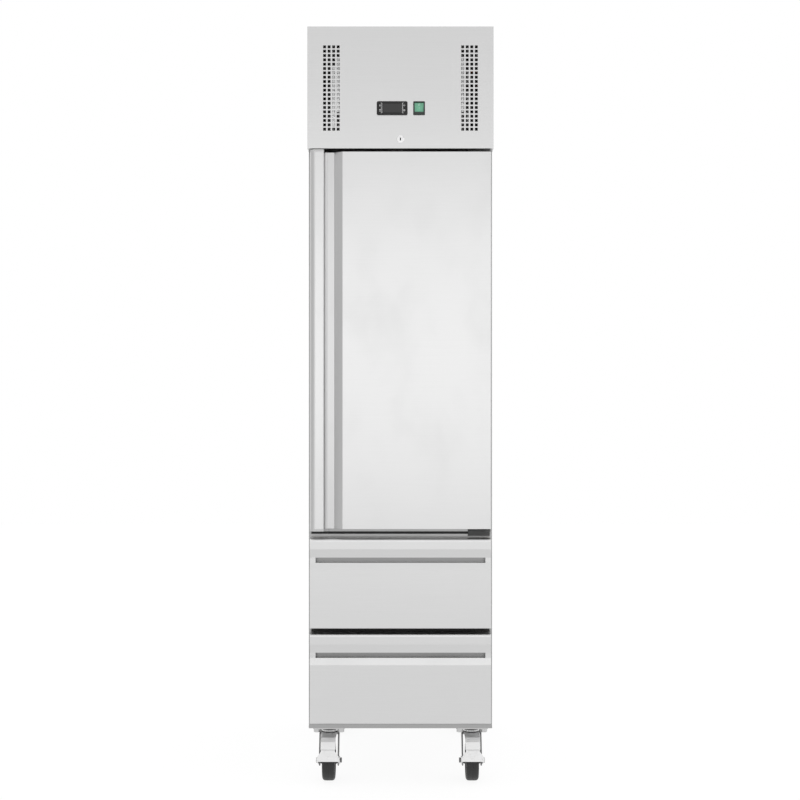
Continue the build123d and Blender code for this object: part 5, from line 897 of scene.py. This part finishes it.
class FREEZER_OT_castors(FreezerStep):
    """Make the castors' wheels and race seals, dark also as painted shade, and finish their plates,
    forks and pedals, with painted light on the hoods and pedals and painted shade on the legs
    """

    bl_idname = "freezer.castors"
    bl_label = "Castors"

    def execute(self, context):
        finish = self.finish
        dress(plated("plate_zinc", grey(194), 0.3), "castor_plates")
        centre = middle("castor_wheel_front_right").x
        # Painted light on the hoods and pedals and painted shade on the legs, split at these half widths
        hood_half, pedal_half = 0.0203, 0.1
        zinc = castor_steel("castor_zinc", finish.pedal, finish.fork, centre, hood_half)
        dress(zinc, *[f"castor_fork_{name}" for name in CASTORS])
        lit_plating = castor_steel("pedal_zinc", finish.pedal, finish.fork, centre, pedal_half)
        for node in ("brake_pedal_front_left", "brake_pedal_front_right"):
            dress(lit_plating, node)
            self.add_tread(node, lit_plating)
        # Dark rubber seals, also painted shade under the castor plates
        rubber = soft_rubber("race_shade_rubber", grey(40))
        for name in CASTORS:
            self.add_race_shade_rings(name, rubber)
        tyre = soft_rubber("tyre_rubber", finish.tyre, 0.5)
        hub = moulded("hub_plastic", finish.hub, 0.45)
        for name in CASTORS:
            self.make_wheel(name, tyre, hub)
        return {"FINISHED"}

    def add_tread(self, node, zinc):
        """Two chevrons pressed up on a pedal's plate."""
        x = middle(node).x
        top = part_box(node)[1].z
        half, point = 0.0095, 0.0105
        width, height = 0.0017, 0.0009
        mesh = bmesh.new()
        for drop in (0.003, 0.009):
            tip = front_of(node, x, top - drop - point)[0]
            for side in (-1, 1):
                end, normal = front_of(node, x + side * half, top - drop)
                add_rib(mesh, end, tip, normal, width, height)
        add_piece(node.replace("brake", "tread"), mesh, BODY_OF[node], [zinc])

    def add_race_shade_rings(self, name, rubber):
        """Dark seals over and under the upper race of a castor, dark also as painted shade of the line
        under the plate.
        """
        plates_low, plates_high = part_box("castor_plates")
        inset = 0.0525
        y = plates_high.y - inset if name.startswith("rear") else plates_low.y + inset
        pivot = (middle(f"castor_wheel_{name}").x, y, plates_low.z)
        # Inner and outer radius, foot and top, from the underside of the plate
        seals = ((0.0176, 0.0209, -0.0005, 0.0022), (0.0205, 0.0214, -0.0064, -0.0044))
        mesh = bmesh.new()
        for seal in seals:
            add_spun(mesh, ring_outline(*seal), pivot, (0, 0, 1), 48, True)
        body = BODY_OF[f"castor_fork_{name}"]
        add_piece(f"race_shade_seal_{name}", mesh, body, [rubber])

    def make_wheel(self, name, tyre, hub):
        """A tyre with a moulding line and round shoulders on a ribbed hub."""
        node = f"castor_wheel_{name}"
        low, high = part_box(node)
        centre = (low + high) / 2
        radius = (high.z - low.z) / 2
        boss = (high.x - low.x) / 2
        half = 0.016
        seat = 0.0380
        # Half of the section, as radius and place across, from the bore to the moulding line
        section = (
            (0.00405, boss), (0.0075, boss), (0.0080, boss - 0.0005), (0.0108, half - 0.0016),
            (0.0120, half - 0.0024), (0.0124, 0.0070), (0.0140, 0.0048), (0.0310, 0.0048),
            (0.0330, 0.0062), (0.0338, half - 0.0030), (0.0348, half - 0.0018), (seat, half - 0.0016),
            (seat, half - 0.0008), (0.0400, half), (0.0440, half - 0.0002), (0.0474, half - 0.0018),
            (0.0492, half - 0.0044), (0.0499, half - 0.0080), (radius, 0.0006),
        )
        line = ((radius - 0.0004, 0.0),)
        outline = tuple((out, -across) for out, across in section) + line + section[::-1]
        mesh = bmesh.new()
        for face in add_spun(mesh, outline, centre, (1, 0, 0), 72, True):
            offset = face.calc_center_median() - centre
            in_tyre = Vector((offset.y, offset.z)).length > seat - 0.0001
            face.material_index = 0 if in_tyre else 1
        rib = (0.0072, 0.0022, 0.0215)
        rib_across, rib_out = 0.0072, 0.0225
        for side in (-1, 1):
            for step in range(self.sizes.spokes):
                turn = Matrix.Rotation(2 * pi * step / self.sizes.spokes, 3, "X")
                place = centre + turn @ Vector((side * rib_across, 0, rib_out))
                vertices = add_bar(mesh, place, rib, turn=turn)
                for face in {face for vertex in vertices for face in vertex.link_faces}:
                    face.material_index = 1
        add_piece(f"wheel_{name}", mesh, BODY_OF[node], [tyre, hub], [node])


class FREEZER_OT_machine(FreezerStep):
    """Finish the condensing unit in the head and add its fins, air baffles and fittings"""

    bl_idname = "freezer.machine"
    bl_label = "Machine space"

    def execute(self, context):
        finish = self.finish
        aluminium = finned_aluminium("condenser_fins", grey(200))
        dress(aluminium, "condenser_coil")
        dress(painted("shroud_paint", grey(46), 0.4), "condenser_shroud")
        dress(painted("compressor_paint", finish.shell, 0.32, 0.1), "compressor")
        dress(copper_tube("copper_tube", finish.copper), "refrigerant_pipes")
        dress(moulded("electrical_box_plastic", grey(176), 0.45), "electrical_box")
        self.make_fins(aluminium)
        self.make_baffles()
        self.make_terminal_cover()
        self.make_foot_bolts()
        return {"FINISHED"}

    def make_fins(self, aluminium):
        """Thin fins between the end plates."""
        shroud_low, shroud_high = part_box("condenser_shroud")
        low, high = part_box("condenser_coil")
        pitch = self.sizes.fin_pitch
        end_plate, depth_gap, foot_gap, top_gap = 0.004, 0.001, 0.007, 0.001
        half = (shroud_high.x - shroud_low.x) / 2 - end_plate
        y = (low.y + high.y) / 2
        z = (low.z + foot_gap + high.z - top_gap) / 2
        size = (0.0003, high.y - low.y - 2 * depth_gap, high.z - low.z - foot_gap - top_gap)
        mesh = bmesh.new()
        for number in range(int(2 * half / pitch)):
            add_bar(mesh, (-half + (number + 0.5) * pitch, y, z), size)
        add_piece("condenser_fin_pack", mesh, "cabinet", [aluminium])

    def make_baffles(self):
        """Air baffles from the coil to the fascia, behind the inner holes of the vents, in zinc painted
        pale as light seen through the vents.
        """
        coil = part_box("condenser_coil")[0].y
        low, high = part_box("head_fascia")
        front = low.y + 0.0125
        sheet, bevel = 0.0012, 0.0003
        inner, bend = 0.1505, 0.1615
        top, bottom = high.z - 0.0744, high.z - 0.2087
        # Start and end across the head, top and bottom
        flaps = (
            (-inner, -bend, top, bottom),
            (-bend, -0.1730, high.z - 0.0962, high.z - 0.2471),
            (inner, 0.1575, top, bottom),
        )
        wall = (sheet, coil - front, top - bottom)
        mesh = bmesh.new()
        for x in (-inner, inner):
            add_bar(mesh, (x, (front + coil) / 2, (top + bottom) / 2), wall, bevel)
        for start, end, upper, lower in flaps:
            flap = (abs(end - start), sheet, upper - lower)
            add_bar(mesh, ((start + end) / 2, front, (upper + lower) / 2), flap, bevel)
        # Painted light: zinc paler than the other galvanised sheet, where light shows through the vents
        zinc = galvanised("lit_baffle_zinc", grey(240))
        add_piece("air_baffles", mesh, "cabinet", [zinc])

    def make_terminal_cover(self):
        """The cover over the compressor's terminals, with a clip round it."""
        centre = middle("compressor")
        aside, height = 0.088, 0.085
        cover = Vector((centre.x - aside, centre.y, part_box("compressor")[0].z + height))
        mesh = bmesh.new()
        add_bar(mesh, cover, (0.030, 0.062, 0.060), 0.004)
        add_bar(mesh, cover + Vector((-0.001, 0, -0.012)), (0.034, 0.050, 0.010), 0.002)
        black = painted("fitting_paint", grey(30), 0.35, 0.1)
        add_piece("compressor_terminal_cover", mesh, "cabinet", [black])

    def make_foot_bolts(self):
        """A washer and a hexagonal head on each of the compressor's feet."""
        centre = middle("compressor")
        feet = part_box("unit_plate")[1].z + 0.017
        washer, sheet = 0.0085, 0.0014
        bolt, height = 0.0065, 0.005
        outline = ((0.0, 0.0), (washer, 0.0), (washer, sheet), (0.0, sheet))
        lift = Vector((0, 0, sheet + height / 2))
        mesh = bmesh.new()
        for x in (-0.0825, 0.0825):
            for y in (-0.05, 0.05):
                foot = Vector((centre.x + x, centre.y + y, feet))
                add_spun(mesh, outline, foot, (0, 0, 1), 32)
                add_prism(mesh, 6, bolt, height, placed(foot + lift))
        zinc = plated("bolt_zinc", self.finish.bright_zinc, 0.28)
        add_piece("compressor_foot_bolts", mesh, "cabinet", [zinc])


class FREEZER_OT_screws(FreezerStep):
    """Set screws in the back panel, the machine cover and the unit's plate"""

    bl_idname = "freezer.screws"
    bl_label = "Screws"

    def execute(self, context):
        head = self.sizes.screw_head
        head_height, spare = head * 0.3, 0.00005
        mesh = bmesh.new()
        low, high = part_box("back_panel")
        inset, end, spaces = 0.0215, 0.04, 7
        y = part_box("outer_panels")[1].y - head_height - spare
        for x in (low.x + inset, high.x - inset):
            for step in range(spaces + 1):
                z = low.z + end + step * (high.z - low.z - 2 * end) / spaces
                add_screw(mesh, (x, y, z), (0, 1, 0), head)
        low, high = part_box("machine_cover")
        inset, from_back = 0.03, 0.01
        for x in (low.x + inset, 0.0, high.x - inset):
            add_screw(mesh, (x, high.y - from_back, high.z), (0, 0, 1), head)
        low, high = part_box("unit_plate")
        inset, from_front, from_back = 0.012, 0.05, 0.06
        for x in (low.x + inset, high.x - inset):
            for y in (low.y + from_front, (low.y + high.y) / 2, high.y - from_back):
                add_screw(mesh, (x, y, high.z), (0, 0, 1), head)
        zinc = plated("screw_zinc", self.finish.bright_zinc, 0.26)
        add_piece("panel_screws", mesh, "cabinet", [zinc])
        return {"FINISHED"}


class FREEZER_OT_stage(FreezerStep):
    """Set the floor, the world, the card, the lamps and the camera"""

    bl_idname = "freezer.stage"
    bl_label = "Stage"

    def execute(self, context):
        stage = context.scene.freezer_stage
        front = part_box("door_skin")[0].y
        self.make_floor(stage)
        self.make_world(context.scene, stage.world)
        self.make_card(stage)
        # Place, what the lamp faces, size and power
        lamps = {
            "front": ((0.2, front - 4.2, 1.25), (0, front, 1.25), (3.0, 1.8), stage.front_power),
            "right": ((3.4, -1.4, 1.9), (0, 0, 0.9), (2.0, 2.0), stage.right_power),
            "top": ((0.0, -0.6, 4.2), (0, 0, 0.9), (2.6, 2.6), stage.top_power),
        }
        for side, lamp in lamps.items():
            self.make_lamp(f"{side}_softbox", *lamp)
        self.make_camera(stage, front)
        context.scene.view_settings.view_transform = "Standard"
        return {"FINISHED"}

    def make_floor(self, stage):
        """A pale floor that glows for the camera and in reflections."""
        recipe = Recipe("pale_floor")
        recipe.finish(Base_Color=grey(246), Roughness=0.7)
        camera_share = 0.85
        seen = (recipe.ray("Camera") * camera_share).most(recipe.ray("Glossy"))
        plain = Wire(recipe, recipe.shader.outputs[0])
        glow = recipe.node("ShaderNodeEmission", {}, {"Strength": stage.floor_glow})
        mixed = recipe.node("ShaderNodeMixShader", {}, {0: seen, 1: plain, 2: glow})
        recipe.put(recipe.nodes["Material Output"].inputs["Surface"], mixed)
        mesh = bmesh.new()
        bmesh.ops.create_grid(mesh, x_segments=2, y_segments=2, size=stage.floor / 2)
        floor = settle("studio_floor", mesh, recipe.material)

    def make_world(self, scene, strength):
        """White surroundings, at full strength where they are seen or reflected."""
        world = bpy.data.worlds.new("studio_world")
        scene.world = world
        world.use_nodes = True
        tree = Tree(world.node_tree)
        background = tree.nodes["Background"]
        tree.put(background.inputs["Color"], WHITE)
        tree.put(background.inputs["Strength"], strength)
        plain = Wire(tree, background.outputs[0])
        white = tree.node("ShaderNodeBackground", {}, {"Color": WHITE, "Strength": 1.0})
        seen = tree.ray("Camera").most(tree.ray("Glossy")).most(tree.ray("Transmission"))
        mixed = tree.node("ShaderNodeMixShader", {}, {0: seen, 1: plain, 2: white})
        tree.put(tree.nodes["World Output"].inputs["Surface"], mixed)

    def make_card(self, stage):
        """A grey card on the left that only reflections see."""
        recipe = Recipe("card_glow")
        recipe.finish(
            Base_Color=BLACK, Roughness=1.0, Emission_Color=WHITE, Emission_Strength=stage.card_glow
        )
        mesh = bmesh.new()
        half_height, half_depth = 1.6, 2.2
        turn = Matrix.Rotation(pi / 2, 3, "Y")
        matrix = placed((-2.6, -1.6, 1.3), turn, (half_height, half_depth, 1.0))
        bmesh.ops.create_grid(mesh, x_segments=1, y_segments=1, size=1.0, matrix=matrix)
        card = settle("side_card", mesh, recipe.material)
        card.visible_camera = card.visible_diffuse = card.visible_shadow = False

    def make_lamp(self, name, place, target, size, power):
        data = bpy.data.lights.new(name, "AREA")
        data.shape = "RECTANGLE"
        data.size, data.size_y = size
        data.energy = power
        lamp = add_object(name, data)
        lamp.location = place
        lamp.rotation_euler = (Vector(target) - Vector(place)).to_track_quat("-Z", "Y").to_euler()
        lamp.visible_camera = False

    def make_camera(self, stage, front):
        """A level camera that looks at the front square on."""
        data = bpy.data.cameras.new("photo_camera")
        data.lens = stage.lens
        data.sensor_width = 36.0
        data.clip_start = 0.05
        camera = add_object("photo_camera", data)
        aside = -0.0011
        camera.location = (aside, front - stage.distance, stage.height)
        camera.rotation_euler = (radians(90), 0, 0)
        bpy.context.scene.camera = camera


class FREEZER_PT_panel(bpy.types.Panel):
    bl_label = "Freezer"
    bl_space_type = "VIEW_3D"
    bl_region_type = "UI"
    bl_category = "Freezer"

    def draw(self, context):
        for step in STEPS:
            self.layout.operator(step.bl_idname)
        for group in SETTINGS:
            settings = getattr(context.scene, group)
            for name in settings.__annotations__:
                self.layout.prop(settings, name)


SETTINGS = {
    "freezer_finish": FreezerFinish,
    "freezer_sizes": FreezerSizes,
    "freezer_stage": FreezerStage,
}
STEPS = (
    FREEZER_OT_stage,
    FREEZER_OT_sheet_metal,
    FREEZER_OT_inside,
    FREEZER_OT_seals,
    FREEZER_OT_controls,
    FREEZER_OT_castors,
    FREEZER_OT_machine,
    FREEZER_OT_screws,
)
CLASSES = (*SETTINGS.values(), *STEPS, FREEZER_PT_panel)


def register():
    for item in CLASSES:
        bpy.utils.register_class(item)
    for name, group in SETTINGS.items():
        setattr(bpy.types.Scene, name, PointerProperty(type=group))


def unregister():
    for name in SETTINGS:
        delattr(bpy.types.Scene, name)
    for item in reversed(CLASSES):
        bpy.utils.unregister_class(item)


def main():
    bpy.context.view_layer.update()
    register()
    for step in STEPS:
        group, name = step.bl_idname.split(".")
        getattr(getattr(bpy.ops, group), name)()


if __name__ == "__main__":
    main()
